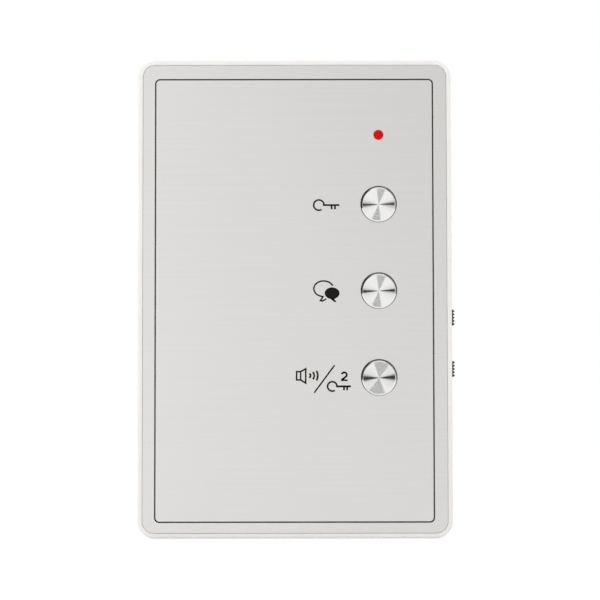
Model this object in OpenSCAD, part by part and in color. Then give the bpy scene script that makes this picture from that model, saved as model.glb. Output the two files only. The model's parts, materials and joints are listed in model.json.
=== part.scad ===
// Surface-mounted audio intercom station. A moulded housing with an inlaid metal face plate carries
// three push buttons, a call lamp, two side sliders, a speaker, a microphone and the circuit board,
// and clips onto a wall base that is screwed to a flush box or to the wall itself.
// Inside the modules x points right, y points up and z points from the wall into the room.

/* [Housing] */
// Width of the housing at the wall
unit_w = 100; // [96:1:125]
// Height of the housing at the wall
unit_h = 152; // [146:1:190]
// Depth from the wall to the front of the rim
unit_d = 24; // [23:0.5:34]
// Radius of the outer corners
corner_r = 5.5; // [4:0.5:8]
// Thickness of the housing walls
wall_t = 2; // [1.9:0.1:2.6]
// Round along the front edge of the rim
edge_r = 0.8; // [0.4:0.1:0.9]
// Draft of the sides in degrees
draft = 0.5; // [0:0.1:0.8]
// Gap between the back edge of the housing and the wall
back_gap = 0.3; // [0.2:0.1:0.6]

/* [Face plate] */
// Width of the housing rim round the plate
rim_w = 1.8; // [1.2:0.05:1.85]
// Thickness of the metal plate
plate_t = 1; // [0.6:0.1:1.5]
// Depth of the plate below the front of the rim
plate_recess = 0.2; // [0.1:0.05:0.4]
// Gap between the plate and the rim
plate_gap = 0.1; // [0.05:0.05:0.3]
// Thickness of the adhesive sheet
adhesive_t = 0.2; // [0.1:0.05:0.4]
// Inset of the adhesive from every edge of the plate
adhesive_inset = 0.6; // [0.3:0.1:2]
// Width of the engraved border line
border_w = 0.45; // [0.3:0.05:0.8]
// Depth of the engraved border line
border_depth = 0.12; // [0.12:0.02:0.3]
// Thickness of the ink in the border line
border_ink_t = 0.08; // [0.04:0.02:0.1]
// Inset of the border line from the left side of the plate
border_left = 3.95; // [3:0.05:8]
// Inset of the border line from the right side of the plate
border_right = 4.3; // [3:0.05:8]
// Inset of the border line from the top of the plate
border_top = 4.55; // [3:0.05:8]
// Inset of the border line from the bottom of the plate
border_bottom = 3.45; // [3:0.05:8]
// Corner radius of the border line
border_r = 1.4; // [1:0.1:4]

/* [Buttons] */
// Distance of the button column from the middle of the unit
button_x = 26.65; // [24:0.05:30]
// Height of the middle button above the middle of the unit
button_mid_y = 2.3; // [-6:0.1:8]
// Distance between neighbouring buttons
button_pitch = 27.5; // [20:0.1:28]
// Diameter of the metal cap
button_d = 11; // [10:0.2:13]
// Thickness of the cap
button_t = 1.6; // [1.4:0.1:2]
// Height of the cap above the plate
button_proud = 0.5; // [0.2:0.1:1]
// Width of the bevel on the edge of the cap
button_bevel_w = 0.36; // [0.2:0.02:0.5]
// Height of the bevel on the edge of the cap
button_bevel_h = 0.28; // [0.1:0.02:0.4]
// Gap between the cap and its hole in the plate
button_gap = 0.3; // [0.25:0.05:0.5]
// Way that a button travels when it is pressed
button_travel = 0.8; // [0.4:0.1:1]
// Gap between the plunger and its guide
guide_gap = 0.25; // [0.2:0.05:0.35]
// Way that a button hangs below the middle of its guide
button_sag = 0.15; // [0:0.05:0.15]
// Length of the guide collar behind the front wall
collar_len = 2; // [1:0.25:3]
// Wall of the guide collar
collar_t = 1.6; // [1.2:0.1:2.2]
// Thickness of the plunger flange
flange_t = 1.4; // [1:0.1:2]
// Reach of the flange under the end of the collar
flange_lip = 1.1; // [0.8:0.1:1.4]
// Gap between the flange and the collar at rest
stop_gap = 0.1; // [0.05:0.05:0.2]
// Diameter of the spigot that seats the cap in the plunger
spigot_d = 4; // [3:0.2:5]
// Length of the spigot
spigot_len = 1.2; // [0.8:0.1:1.6]
// Diameter of the plunger stem that works the switch
stem_d = 4; // [3:0.2:4.6]
// Length of the plunger stem
stem_len = 1.2; // [0.8:0.1:2]

/* [Button springs and switches] */
// Outer diameter of the return spring
spring_d = 10.6; // [10.4:0.1:11.5]
// Diameter of the spring wire
spring_wire = 0.5; // [0.4:0.05:0.6]
// Number of turns of the spring
spring_turns = 4; // [3:1:4]
// Side of the square switch body
switch_w = 6; // [5:0.2:6.2]
// Height of the switch body
switch_body_h = 3.4; // [3.2:0.1:3.5]
// Height of the switch to the top of its actuator
switch_h = 4.3; // [4.2:0.1:5]
// Diameter of the switch actuator
actuator_d = 3.4; // [2.6:0.1:3.6]
// Gap between the actuator and its well
actuator_gap = 0.1; // [0.05:0.05:0.2]

/* [Call lamp] */
// Height of the lamp above the top button
lamp_rise = 22.1; // [18:0.1:24]
// Diameter of the lamp lens
lamp_d = 3; // [2.8:0.1:4]
// Height of the lamp body from its flange to the tip of the lens
lamp_len = 5.3; // [4.5:0.1:5.8]
// Height of the lens tip above the plate
lamp_proud = 0.3; // [0.1:0.1:0.8]
// Gap between the lamp and its hole in the plate
lamp_gap = 0.1; // [0.05:0.05:0.2]

/* [Side sliders] */
// Height of the upper slider relative to the middle of the unit
slider_y = -6.05; // [-12:0.05:0]
// Distance between the two sliders
slider_pitch = 16.5; // [15:0.1:20]
// Length of a slider knob along its travel
slider_len = 5.2; // [4.5:0.1:6]
// Thickness of a slider knob
slider_t = 2.6; // [2:0.1:2.8]
// Way that a knob slides to each side of its middle notch
slider_travel = 2; // [1:0.1:2.2]
// Height of the knob above the side of the housing
slider_proud = 1.3; // [0.8:0.1:3]
// Number of grip ribs on the knob
rib_count = 5; // [3:1:6]
// Depth of the grip ribs
rib_depth = 0.55; // [0.2:0.05:0.7]
// Gap round the knob in its slots
slider_gap = 0.3; // [0.2:0.05:0.5]

/* [Speaker] */
// Outer diameter of the speaker
speaker_d = 40; // [36:1:42]
// Height of the speaker above the middle of the unit
speaker_y = 36; // [30:1:42]
// Depth of the sound chamber in front of the speaker
chamber_h = 3; // [2.5:0.25:4]
// Width of the seat under the speaker flange
seat_w = 2; // [1.5:0.1:2.5]
// Wall of the seat outside the speaker
seat_lip = 1.6; // [1.2:0.1:2.4]
// Gap between the speaker seat and the side wall of the housing
seat_gap = 1; // [0.5:0.1:2]
// Thickness of the gasket
gasket_t = 0.6; // [0.4:0.1:1]
// Depth of the speaker behind its gasket
speaker_depth = 11.4; // [10:0.2:12.4]
// Diameter of the magnet
magnet_d = 18; // [14:0.5:20]
// Thickness of the magnet
magnet_t = 3; // [2.5:0.1:3.5]
// Number of sound slots in the side wall
sound_slots = 5; // [3:1:6]
// Length of a sound slot
sound_slot_len = 6; // [4:0.5:6.5]
// Width of a sound slot
sound_slot_w = 1.6; // [1:0.1:1.8]
// Distance between neighbouring sound slots
sound_slot_pitch = 8; // [7.5:0.25:9]

/* [Microphone] */
// Place of the microphone left of the middle of the unit
microphone_x = 12; // [10:0.5:16]
// Diameter of the microphone capsule
capsule_d = 6; // [5:0.5:7]
// Length of the microphone capsule
capsule_len = 4.6; // [3:0.2:5.2]
// Wall of the rubber boot round the capsule
boot_t = 1.8; // [1.2:0.1:2.4]
// Length of the rubber boot
boot_len = 8; // [7:0.5:9]
// Diameter of the sound hole in the bottom wall
sound_hole_d = 1.6; // [1:0.1:2.4]

/* [Circuit board] */
// Height of the circuit board
board_h = 120; // [118:1:126]
// Thickness of the circuit board
board_t = 1.6; // [1:0.1:2]
// Gap between the board and the pieces beside it
board_gap = 1; // [0.8:0.1:1.5]
// Inset of the board screws from the board's edges
board_inset = 4; // [3.5:0.1:5]
// Diameter of the pilot holes for the self-tapping screws
pilot_d = 2.2; // [1.8:0.1:2.4]
// Diameter of the bosses that take these screws
boss_d = 6; // [5.4:0.1:6.4]

/* [Terminals] */
// Number of wires that the block takes
terminal_count = 4; // [2:1:4]
// Distance between neighbouring terminals
terminal_pitch = 3.5; // [3:0.1:3.8]
// Depth of the block from front to back
terminal_depth = 7.5; // [6:0.1:8]
// Height of the block up the board
terminal_h = 8; // [7:0.5:10]
// Place of the block right of the middle of the unit
terminal_x = 9.5; // [9:0.1:11]

/* [Wall base] */
// Thickness of the base plate
base_t = 2.2; // [1.8:0.1:2.4]
// Gap between the base and the inside of the housing
base_gap = 0.4; // [0.3:0.05:0.6]
// Height of the stiffening rim above the base plate
base_rim_h = 2.8; // [1.5:0.1:3]
// Thickness of the stiffening rim
base_rim_t = 1.6; // [1.2:0.1:2]
// Width of the cable window
window_w = 44; // [36:1:46]
// Height of the cable window
window_h = 40; // [24:1:60]
// Distance between the flush box screws
box_spacing = 60; // [58:0.5:62]
// Length of the slots for the flush box screws
slot_len = 8; // [6:0.5:9]
// Diameter of the screw holes and width of the slots
screw_hole_d = 4.2; // [3.6:0.1:4.6]
// Distance between the holes for wall plugs
plug_spacing = 120; // [100:1:124]
// Distance of the snap tongues from the middle of the unit
snap_x = 30; // [26:1:34]
// Width of a snap tongue
snap_w = 8; // [6:0.5:10]
// Thickness of a snap tongue
snap_t = 1.4; // [1:0.1:1.8]
// Depth that a barb reaches into the wall of the housing
snap_catch = 0.6; // [0.3:0.1:0.9]

/* [Hidden] */
$fn = 64;

// Overshoot of every cut past the face that it opens
past = 1;
// Clearance of a piece that is seated in another one
seat_clear = 0.05;
// Gap between the tip of a screw and the end of its pilot hole
tip_gap = 0.5;

// Half sizes of the housing, outside and inside
half_w = unit_w / 2;
half_h = unit_h / 2;
inner_x = half_w - wall_t;
inner_y = half_h - wall_t;

// Levels from the plate back to the circuit board
plate_front = unit_d - plate_recess;
plate_back = plate_front - plate_t;
floor_z = plate_back - adhesive_t;
inner_z = floor_z - wall_t;
cap_front = plate_front + button_proud;
cap_back = cap_front - button_t;
collar_end = inner_z - collar_len;
flange_front = collar_end - stop_gap;
flange_back = flange_front - flange_t;
stem_end = flange_back - stem_len;
board_front = stem_end - switch_h;
board_back = board_front - board_t;

// Face plate and its border line
plate_w = unit_w - 2 * rim_w;
plate_h = unit_h - 2 * rim_w;
plate_r = corner_r - rim_w;
border_line_w = plate_w - border_left - border_right;
border_line_h = plate_h - border_top - border_bottom;
border_mid_x = (border_left - border_right) / 2;
border_mid_y = (border_bottom - border_top) / 2;

// Buttons, counted from the top one
cap_r = button_d / 2;
guide_r = cap_r + guide_gap;
collar_r = guide_r + collar_t;
flange_r = guide_r + flange_lip;
hole_r = cap_r + button_gap;
spring_mean_r = (spring_d - spring_wire) / 2;
spring_steps = 8;
spring_wire_sides = 6;
function button_y(i) = button_mid_y + (1 - i) * button_pitch;

// Call lamp
lamp_y = button_y(0) + lamp_rise;
lamp_front = plate_front + lamp_proud;
lamp_back = lamp_front - lamp_len;
lamp_flange_w = 0.4;
lamp_flange_r = lamp_d / 2 + lamp_flange_w;
lamp_flange_t = 1;
lamp_hole_r = lamp_d / 2 + lamp_gap;
lamp_lead_w = 0.5;
lamp_lead_gap = 2.54;
lamp_lead_out = 1;
lead_hole_d = 0.9;
dome_rise = 0.35;
spacer_wall = 1;

// Ribs that stiffen the front wall where nothing is mounted behind it
stiffener_t = 1.2;
stiffener_h = 2.2;
stiffener_pitch = 16;
stiffener_clear = 8;

// Speaker, its seat and its screws
speaker_r = speaker_d / 2;
seat_r = speaker_r + seat_lip;
speaker_x = -inner_x + seat_gap + seat_r;
seat_z = inner_z - chamber_h;
speaker_front = seat_z - gasket_t;
speaker_back = speaker_front - speaker_depth;
flange_ring_t = 1.2;
speaker_level = speaker_front - flange_ring_t;
speaker_screw_head_r = 3.5;
speaker_screw_head_t = 1.6;
speaker_screw_grip = 0.5;
speaker_screw_r = speaker_r + speaker_screw_head_r - speaker_screw_grip;
speaker_boss_d = 5;
speaker_screw_angles = [45, 135, 270];
seat_sill = 0.8;
gasket_inset = 0.2;

// Basket and cone of the speaker
basket_rim_w = 4;
basket_inner_r = speaker_r - basket_rim_w;
basket_neck = 1;
basket_sheet = 0.9;
basket_window_w = 8;
tag_angle = -45;
tag_w = 6;
tag_in = 1;
tag_out = 3;
tag_t = 1;
cone_edge_gap = 0.4;
cone_edge_w = 2.4;
cone_paper_t = 0.4;
coil_clear = 1.4;
coil_len = 2;

// Circuit board between the speaker seat and the right-hand wall
board_left = speaker_x + seat_r + board_gap;
board_right = inner_x - board_gap;
board_w = board_right - board_left;
board_x = (board_left + board_right) / 2;
board_hole_play = 0.8;
board_hole_d = pilot_d + board_hole_play;
board_corner_r = 1;
board_screw_head_r = 2.6;
board_screw_head_t = 1.8;
board_screw_short = 2.5;
board_screws_xy = [
    for (x = [board_left + board_inset, board_right - board_inset])
        for (s = [-1, 1]) [x, s * (board_h / 2 - board_inset)]
];

// Side sliders with their switch cans on the right-hand edge of the board
can_t = 0.4;
can_depth = 5;
can_h = 5.2;
can_base_t = 0.8;
can_end = 2;
can_len = slider_len + 2 * (slider_travel + can_end);
carriage_lip = 1.2;
carriage_len = slider_len + 2 * carriage_lip;
carriage_gap = 0.2;
carriage_t = can_h - can_base_t - can_t - 2 * carriage_gap;
knob_z = board_front + can_base_t + carriage_gap + carriage_t / 2;
knob_tip = half_w + slider_proud;
rib_pitch = slider_len / rib_count;
rib_tip_w = rib_pitch / 4;
slider_pin_w = 0.6;
slider_pin_out = 1;
slider_pin_pitch = 2.5;
slider_pin_hole_d = 1;
slider_pin_x = board_right - can_depth / 2;
slider_slot_len = slider_len + 2 * (slider_travel + slider_gap);
slider_slot_t = slider_t + 2 * slider_gap;
function slider_mid_y(i) = slider_y - i * slider_pitch;

// Microphone in the bottom wall
boot_r = capsule_d / 2 + boot_t;
saddle_t = 1.2;
saddle_gap = 0.2;
saddle_r = boot_r + saddle_gap;
saddle_w = 2 * (saddle_r + saddle_t);
microphone_z = inner_z - saddle_t - saddle_r;
boot_end = -inner_y + boot_len;
capsule_cover = 1;
capsule_front = boot_end - capsule_len - capsule_cover;
saddle_end = 1;
saddle_depth = boot_r / 3;

// Plugs of the inner leads on the left-hand edge of the board
plug_w = 5;
plug_h = 6;
plug_t = 5;
plug_latch = 0.8;
plug_inset = 5;
plug_x = board_left + plug_inset;
speaker_plug_drop = 22;
speaker_plug_y = speaker_y - speaker_plug_drop;
microphone_plug_rise = 16;
microphone_plug_y = microphone_plug_rise - board_h / 2;

// Leads, and how far each one runs on in its first direction before it bends
lead_r = 0.5;
lead_pitch = 2;
lead_stub = 1;
lead_steps = 12;
lead_sides = 8;
tag_lead_side = 4;
tag_lead_drop = 8;
tag_lead_sink = 0.6;
speaker_plug_run = 6;
microphone_lead_rise = 12;
microphone_plug_run = 8;

// Parts on the board
capacitor_d = 6.3;
capacitor_h = 7.4;
capacitor_places = [[12, 46], [12, 36]];
controller_place = [10, -14];
controller_size = [10, 10, 1.6];
controller_legs = 8;
amplifier_place = [12, 24];
amplifier_size = [4, 5, 1.6];
amplifier_legs = 4;
leg_reach = 1;
leg_root = 0.3;
leg_w = 0.5;
leg_t = 0.4;
switch_leg_gap = 3.8;
well_room = 1;

// Terminal block on the back of the board
terminal_end = 0.5;
terminal_w = terminal_count * terminal_pitch + 2 * terminal_end;
terminal_back = board_back - terminal_depth;
terminal_screw_d = 2.2;
terminal_screw_play = 0.2;
terminal_screw_sunk = 1;
terminal_entry = 2.2;
terminal_floor = 1.2;

// Wall base
base_w = 2 * (inner_x - base_gap);
base_h = 2 * (inner_y - base_gap);
base_r = max(corner_r - wall_t - base_gap, 1);
window_r = 3;
window_frame_t = 1.6;
window_frame_h = 1.8;
screw_pad_t = 0.8;
screw_pad_w = 3;
barb_z = 6;
barb_reach = base_gap + snap_catch;
barb_land = 0.4;
barb_h = 1.8;
barb_play = 0.15;
tongue_over = 0.2;
tongue_top = barb_z + barb_h + tongue_over;
snap_side_play = 0.5;
tongue_relief = 1;
notch_w = 10;
notch_h = 1.4;

// Colours
housing_white = [0.94, 0.92, 0.9];
plate_grey = [0.85, 0.84, 0.82];
cap_silver = [0.92, 0.92, 0.9];
lamp_red = [0.9, 0.04, 0.05];
ink_black = [0.12, 0.11, 0.1];
slider_black = [0.2, 0.16, 0.16];
natural_plastic = [0.88, 0.87, 0.82];
board_green = [0.08, 0.34, 0.2];
steel_grey = [0.7, 0.7, 0.72];
dark_plastic = [0.12, 0.12, 0.13];
foam_grey = [0.3, 0.3, 0.3];
terminal_green = [0.2, 0.5, 0.3];
wire_red = [0.65, 0.1, 0.1];
magnet_grey = [0.45, 0.45, 0.47];

// Stands the unit upright, with its back on the wall and its front facing the viewer
module onto_wall() {
    rotate([90, 0, 0]) children();
}

// Box between its lowest and its highest corner
module box(low, high) {
    translate(low) cube(high - low);
}

// Cylinder between two levels
module disc(r, low, high) {
    translate([0, 0, low]) cylinder(r = r, h = high - low);
}

// Flat rectangle with round corners
module rounded_rect(w, h, r) {
    square([w - 2 * r, h], center = true);
    square([w, h - 2 * r], center = true);
    for (x = [-1, 1], y = [-1, 1])
        translate([x * (w / 2 - r), y * (h / 2 - r)]) circle(r = r);
}

// Slab with round corners between two levels
module rounded_slab(w, h, r, low, high) {
    translate([0, 0, low]) linear_extrude(high - low) rounded_rect(w, h, r);
}

// Sweeps a profile round a rectangle with round corners. The profile's x is the distance from the
// centre of a corner and its y is the level.
module sweep_round(w, h, r) {
    reach_x = w / 2 - r;
    reach_y = h / 2 - r;
    for (i = [0:3]) {
        across = i % 2 == 0 ? reach_x : reach_y;
        along = i % 2 == 0 ? reach_y : reach_x;
        rotate(90 * i) {
            translate([across, along, 0]) rotate_extrude(angle = 90) children();
            translate([across, along, 0]) rotate([90, 0, 0]) linear_extrude(2 * along) children();
        }
    }
}

// Tube of round wire along a path, as one closed strip of triangles
function unit_vector(v) = v / norm(v);
function path_direction(path, i) =
    unit_vector(path[min(i + 1, len(path) - 1)] - path[max(i - 1, 0)]);
function wire_ring(point, direction, r, sides) =
    let (side = unit_vector(cross(direction, [0, 0, 1])), up = cross(side, direction))
    [for (k = [0:sides - 1]) point + r * (cos(360 * k / sides) * side + sin(360 * k / sides) * up)];
module wire(path, r, sides) {
    last = len(path) - 1;
    points = [for (i = [0:last]) each wire_ring(path[i], path_direction(path, i), r, sides)];
    skin = [
        for (i = [0:last - 1], k = [0:sides - 1])
            let (a = i * sides + k, b = i * sides + (k + 1) % sides)
            each [[a, b, a + sides], [b, b + sides, a + sides]]
    ];
    start_cap = [for (k = [1:sides - 2]) [0, k + 1, k]];
    end_cap = [for (k = [1:sides - 2]) [last * sides, last * sides + k, last * sides + k + 1]];
    polyhedron(points = points, faces = concat(skin, start_cap, end_cap));
}
function least_gap(path, r, skip) =
    min([for (i = [0:len(path) - 1 - skip], j = [i + skip:len(path) - 1]) norm(path[i] - path[j])]) - 2 * r;

// Smooth lead from one point to another, leaving and arriving straight in the given directions
function curve_point(a, b, c, d, t) =
    pow(1 - t, 3) * a + 3 * pow(1 - t, 2) * t * b + 3 * (1 - t) * t * t * c + pow(t, 3) * d;
function lead_path(from, leave, to, arrive, stub, steps) =
    let (
        start = from + stub * unit_vector(leave),
        end = to + stub * unit_vector(arrive),
        bend = [for (i = [0:steps]) curve_point(start, start + leave, end + arrive, end, i / steps)]
    )
    concat([from], bend, [to]);

// Section of the housing wall: drafted outside, a round front edge and a ledge for the plate
module wall_profile() {
    lean = tan(draft) * (unit_d - edge_r - back_gap);
    crest = corner_r - lean;
    recess_edge = corner_r - rim_w + plate_gap;
    polygon([
        [corner_r - wall_t, back_gap],
        [corner_r, back_gap],
        [crest, unit_d - edge_r],
        [crest - edge_r, unit_d],
        [recess_edge, unit_d],
        [recess_edge, floor_z],
        [corner_r - wall_t, floor_z]
    ]);
    translate([crest - edge_r, unit_d - edge_r]) intersection() {
        circle(r = edge_r);
        square(edge_r);
    }
}

// Seat for the speaker: a ring that closes off the sound chamber, open towards the side slots
module speaker_seat() {
    translate([speaker_x, speaker_y, 0]) difference() {
        disc(seat_r, seat_z, inner_z + wall_t / 2);
        disc(speaker_r - seat_w, seat_z - past, inner_z);
        box([-seat_r - past, -seat_r / 2, seat_z + seat_sill], [-seat_r / 2, seat_r / 2, inner_z]);
    }
}

// Places each child at the three speaker screws
module at_speaker_screws() {
    for (angle = speaker_screw_angles)
        translate([speaker_x, speaker_y, 0]) rotate(angle) translate([speaker_screw_r, 0, 0]) children();
}

// Places each child at the four board screws
module at_board_screws() {
    for (place = board_screws_xy) translate([place[0], place[1], 0]) children();
}

// Clip that holds the microphone boot against the bottom wall
module microphone_saddle() {
    translate([-microphone_x, 0, 0]) difference() {
        box([-saddle_w / 2, -inner_y - wall_t / 2, microphone_z - saddle_depth],
            [saddle_w / 2, boot_end - saddle_end, inner_z + wall_t / 2]);
        translate([0, boot_end + past, microphone_z]) rotate([90, 0, 0])
            cylinder(r = saddle_r, h = boot_len + past);
    }
}

// Crossed ribs on the back of the front wall, below the speaker and left of the board
module stiffeners() {
    top = speaker_y - seat_r - stiffener_clear;
    right = board_left - board_gap;
    low = inner_z - stiffener_h;
    high = inner_z + wall_t / 2;
    for (x = [speaker_x - stiffener_pitch / 2, speaker_x + stiffener_pitch / 2])
        box([x - stiffener_t / 2, boot_end, low], [x + stiffener_t / 2, top, high]);
    for (y = [boot_end + stiffener_pitch, top - stiffener_pitch])
        box([-inner_x - wall_t / 2, y - stiffener_t / 2, low], [right, y + stiffener_t / 2, high]);
}

// Places each child at the three buttons
module at_buttons() {
    for (i = [0:2]) translate([button_x, button_y(i), 0]) children();
}

module housing_cuts() {
    at_buttons() disc(guide_r, collar_end - past, floor_z + past);
    translate([button_x, lamp_y, 0]) disc(lamp_hole_r + lamp_gap, inner_z - past, floor_z + past);
    at_board_screws() disc(pilot_d / 2, board_front - past, inner_z);
    at_speaker_screws() disc(pilot_d / 2, speaker_level - past, inner_z);
    // Sound slots in the left-hand wall
    for (i = [0:sound_slots - 1]) {
        slot_y = speaker_y + (i - (sound_slots - 1) / 2) * sound_slot_pitch;
        slot_z = inner_z - chamber_h / 2;
        box([-half_w - past, slot_y - sound_slot_len / 2, slot_z - sound_slot_w / 2],
            [-inner_x + past / 2, slot_y + sound_slot_len / 2, slot_z + sound_slot_w / 2]);
    }
    // Slots for the side sliders in the right-hand wall
    for (i = [0:1])
        box([inner_x - past / 2, slider_mid_y(i) - slider_slot_len / 2, knob_z - slider_slot_t / 2],
            [half_w + past, slider_mid_y(i) + slider_slot_len / 2, knob_z + slider_slot_t / 2]);
    // Sound hole of the microphone in the bottom wall
    translate([-microphone_x, -inner_y + past / 2, microphone_z]) rotate([90, 0, 0])
        cylinder(d = sound_hole_d, h = wall_t + past);
    // Pockets for the snap tongues in the top and the bottom wall
    for (x = [-1, 1], y = [-1, 1])
        translate([x * snap_x, y * inner_y, barb_z - barb_play])
            box([-snap_w / 2 - snap_side_play, -snap_catch - barb_play, 0],
                [snap_w / 2 + snap_side_play, snap_catch + barb_play, barb_h + 2 * barb_play]);
    // Notch for a screwdriver that releases the bottom tongues
    box([-notch_w / 2, -half_h - past, back_gap - past], [notch_w / 2, -inner_y + past, back_gap + notch_h]);
}

module front_housing() {
    color(housing_white) onto_wall() difference() {
        union() {
            sweep_round(unit_w, unit_h, corner_r) wall_profile();
            rounded_slab(unit_w - wall_t, unit_h - wall_t, corner_r - wall_t / 2, inner_z, floor_z);
            at_buttons() disc(collar_r, collar_end, inner_z + wall_t / 2);
            stiffeners();
            at_board_screws() disc(boss_d / 2, board_front, inner_z + wall_t / 2);
            speaker_seat();
            at_speaker_screws() disc(speaker_boss_d / 2, speaker_level, inner_z + wall_t / 2);
            microphone_saddle();
        }
        housing_cuts();
    }
}

// Body of the border line, as high as given, on the floor of its groove
module border_line(h) {
    translate([border_mid_x, border_mid_y, plate_front - border_depth]) linear_extrude(h) difference() {
        rounded_rect(border_line_w + border_w, border_line_h + border_w, border_r + border_w / 2);
        rounded_rect(border_line_w - border_w, border_line_h - border_w, border_r - border_w / 2);
    }
}

// Face plate with its holes and the engraved border line
module face_plate() {
    color(plate_grey) onto_wall() difference() {
        rounded_slab(plate_w, plate_h, plate_r, plate_back, plate_front);
        at_buttons() disc(hole_r, plate_back - past, plate_front + past);
        translate([button_x, lamp_y, 0]) disc(lamp_hole_r, plate_back - past, plate_front + past);
        border_line(past);
    }
}

// Ink that fills the border line to just below the face of the plate
module border_ink() {
    color(ink_black) onto_wall() border_line(border_ink_t);
}

module plate_adhesive() {
    color(foam_grey) onto_wall() difference() {
        rounded_slab(plate_w - 2 * adhesive_inset, plate_h - 2 * adhesive_inset,
                     plate_r - adhesive_inset, floor_z, plate_back);
        at_buttons() disc(hole_r + adhesive_inset, floor_z - past, plate_back + past);
        translate([button_x, lamp_y, 0])
            disc(lamp_hole_r + adhesive_inset, floor_z - past, plate_back + past);
    }
}

// Turned metal cap with a bevelled edge and a spigot at the back
module button_cap(i) {
    spigot_r = spigot_d / 2 - seat_clear;
    color(cap_silver) onto_wall() translate([button_x, button_y(i) - button_sag, 0]) rotate_extrude()
        polygon([
            [0, cap_back - spigot_len],
            [spigot_r, cap_back - spigot_len],
            [spigot_r, cap_back],
            [cap_r, cap_back],
            [cap_r, cap_front - button_bevel_h],
            [cap_r - button_bevel_w, cap_front],
            [0, cap_front]
        ]);
}

// Moulded plunger: a cored barrel, a flange that stops under the collar and a stem for the switch
module button_plunger(i) {
    spring_land_r = spring_mean_r - spring_wire;
    core_depth = flange_t + collar_len;
    color(natural_plastic) onto_wall() translate([button_x, button_y(i) - button_sag, 0]) {
        difference() {
            union() {
                disc(cap_r, flange_back, cap_back);
                disc(flange_r, flange_back, flange_front);
            }
            disc(spring_land_r, flange_back - past, flange_back + core_depth);
            disc(spigot_d / 2, cap_back - spigot_len - seat_clear, cap_back + past);
        }
        disc(stem_d / 2, stem_end, flange_back + core_depth);
    }
}

// Compression spring between the board and the plunger flange
function spring_path() =
    let (
        rings = spring_turns * spring_steps,
        low = board_front + spring_wire / 2 + seat_clear,
        high = flange_back - spring_wire / 2 - seat_clear
    )
    [for (k = [0:rings]) [
        spring_mean_r * cos(360 * k / spring_steps),
        spring_mean_r * sin(360 * k / spring_steps),
        low + (high - low) * k / rings
    ]];
echo(spring_self_gap = least_gap(spring_path(), spring_wire / 2, spring_steps / 2 + 1));
module button_spring(i) {
    color(steel_grey) onto_wall() translate([button_x, button_y(i), 0])
        wire(spring_path(), spring_wire / 2, spring_wire_sides);
}

// Body of a push switch with its well and its four soldering legs
module switch_body(i) {
    well_r = actuator_d / 2 + actuator_gap;
    well_floor = switch_body_h - (switch_h - switch_body_h) - button_travel - well_room;
    leg_mid = switch_w / 2 + leg_reach / 2 - leg_root;
    color(dark_plastic) onto_wall() translate([button_x, button_y(i), board_front]) difference() {
        union() {
            box([-switch_w / 2, -switch_w / 2, 0], [switch_w / 2, switch_w / 2, switch_body_h]);
            for (x = [-1, 1], y = [-1, 1])
                translate([x * leg_mid, y * switch_leg_gap / 2, leg_t / 2])
                    cube([leg_reach, leg_w, leg_t], center = true);
        }
        disc(well_r, well_floor, switch_body_h + past);
    }
}

module switch_actuator(i) {
    low = board_front + switch_body_h - (switch_h - switch_body_h);
    color(steel_grey) onto_wall() translate([button_x, button_y(i), 0]) disc(actuator_d / 2, low, stem_end);
}

// Slider knob: a carriage inside the can, and a finger with grip ribs through the side wall
module slider_knob(i) {
    carriage_in = can_t + carriage_gap;
    color(slider_black) onto_wall() translate([0, slider_mid_y(i), knob_z]) {
        box([board_right - can_depth + carriage_in, -carriage_len / 2, -carriage_t / 2],
            [board_right - carriage_in, carriage_len / 2, carriage_t / 2]);
        box([board_right - can_depth / 2, -slider_len / 2, -slider_t / 2],
            [knob_tip - rib_depth, slider_len / 2, slider_t / 2]);
        for (k = [0:rib_count - 1])
            translate([knob_tip - rib_depth, -slider_len / 2 + k * rib_pitch, -slider_t / 2])
                linear_extrude(slider_t) polygon([
                    [-rib_depth, 0], [0, 0], [rib_depth, (rib_pitch - rib_tip_w) / 2],
                    [rib_depth, (rib_pitch + rib_tip_w) / 2], [0, rib_pitch], [-rib_depth, rib_pitch]
                ]);
    }
}

// Folded steel can of a slide switch, open towards the board
module slider_can(i) {
    half_slot = slider_t / 2 + carriage_gap;
    place = [board_right - can_depth, slider_mid_y(i), board_front];
    color(steel_grey) onto_wall() translate(place) difference() {
        box([0, -can_len / 2, 0], [can_depth, can_len / 2, can_h]);
        box([can_t, -can_len / 2 + can_t, -past], [can_depth - can_t, can_len / 2 - can_t, can_h - can_t]);
        box([can_depth - past, -slider_slot_len / 2, knob_z - board_front - half_slot],
            [can_depth + past, slider_slot_len / 2, knob_z - board_front + half_slot]);
    }
}

// Insulating base of a slide switch with its three soldering pins
module slider_base(i) {
    color(dark_plastic) onto_wall() translate([0, slider_mid_y(i), board_front]) {
        box([board_right - can_depth + can_t + seat_clear, -can_len / 2 + can_t + seat_clear, 0],
            [board_right - can_t - seat_clear, can_len / 2 - can_t - seat_clear, can_base_t]);
        for (k = [-1:1])
            translate([slider_pin_x, k * slider_pin_pitch, 0])
                box([-slider_pin_w / 2, -slider_pin_w / 2, -board_t - slider_pin_out],
                    [slider_pin_w / 2, slider_pin_w / 2, can_base_t]);
    }
}

// Lamp with a flange and a slightly domed lens
module call_lamp() {
    lens_r = lamp_d / 2;
    dome_r = (lens_r * lens_r + dome_rise * dome_rise) / (2 * dome_rise);
    color(lamp_red) onto_wall() translate([button_x, lamp_y, 0]) {
        disc(lamp_flange_r, lamp_back, lamp_back + lamp_flange_t);
        intersection() {
            disc(lens_r, lamp_back, lamp_front);
            translate([0, 0, lamp_front - dome_r]) sphere(r = dome_r);
        }
    }
}

module at_lamp_leads() {
    for (s = [-1, 1]) translate([button_x + s * lamp_lead_gap / 2, lamp_y, 0]) children();
}

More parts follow.
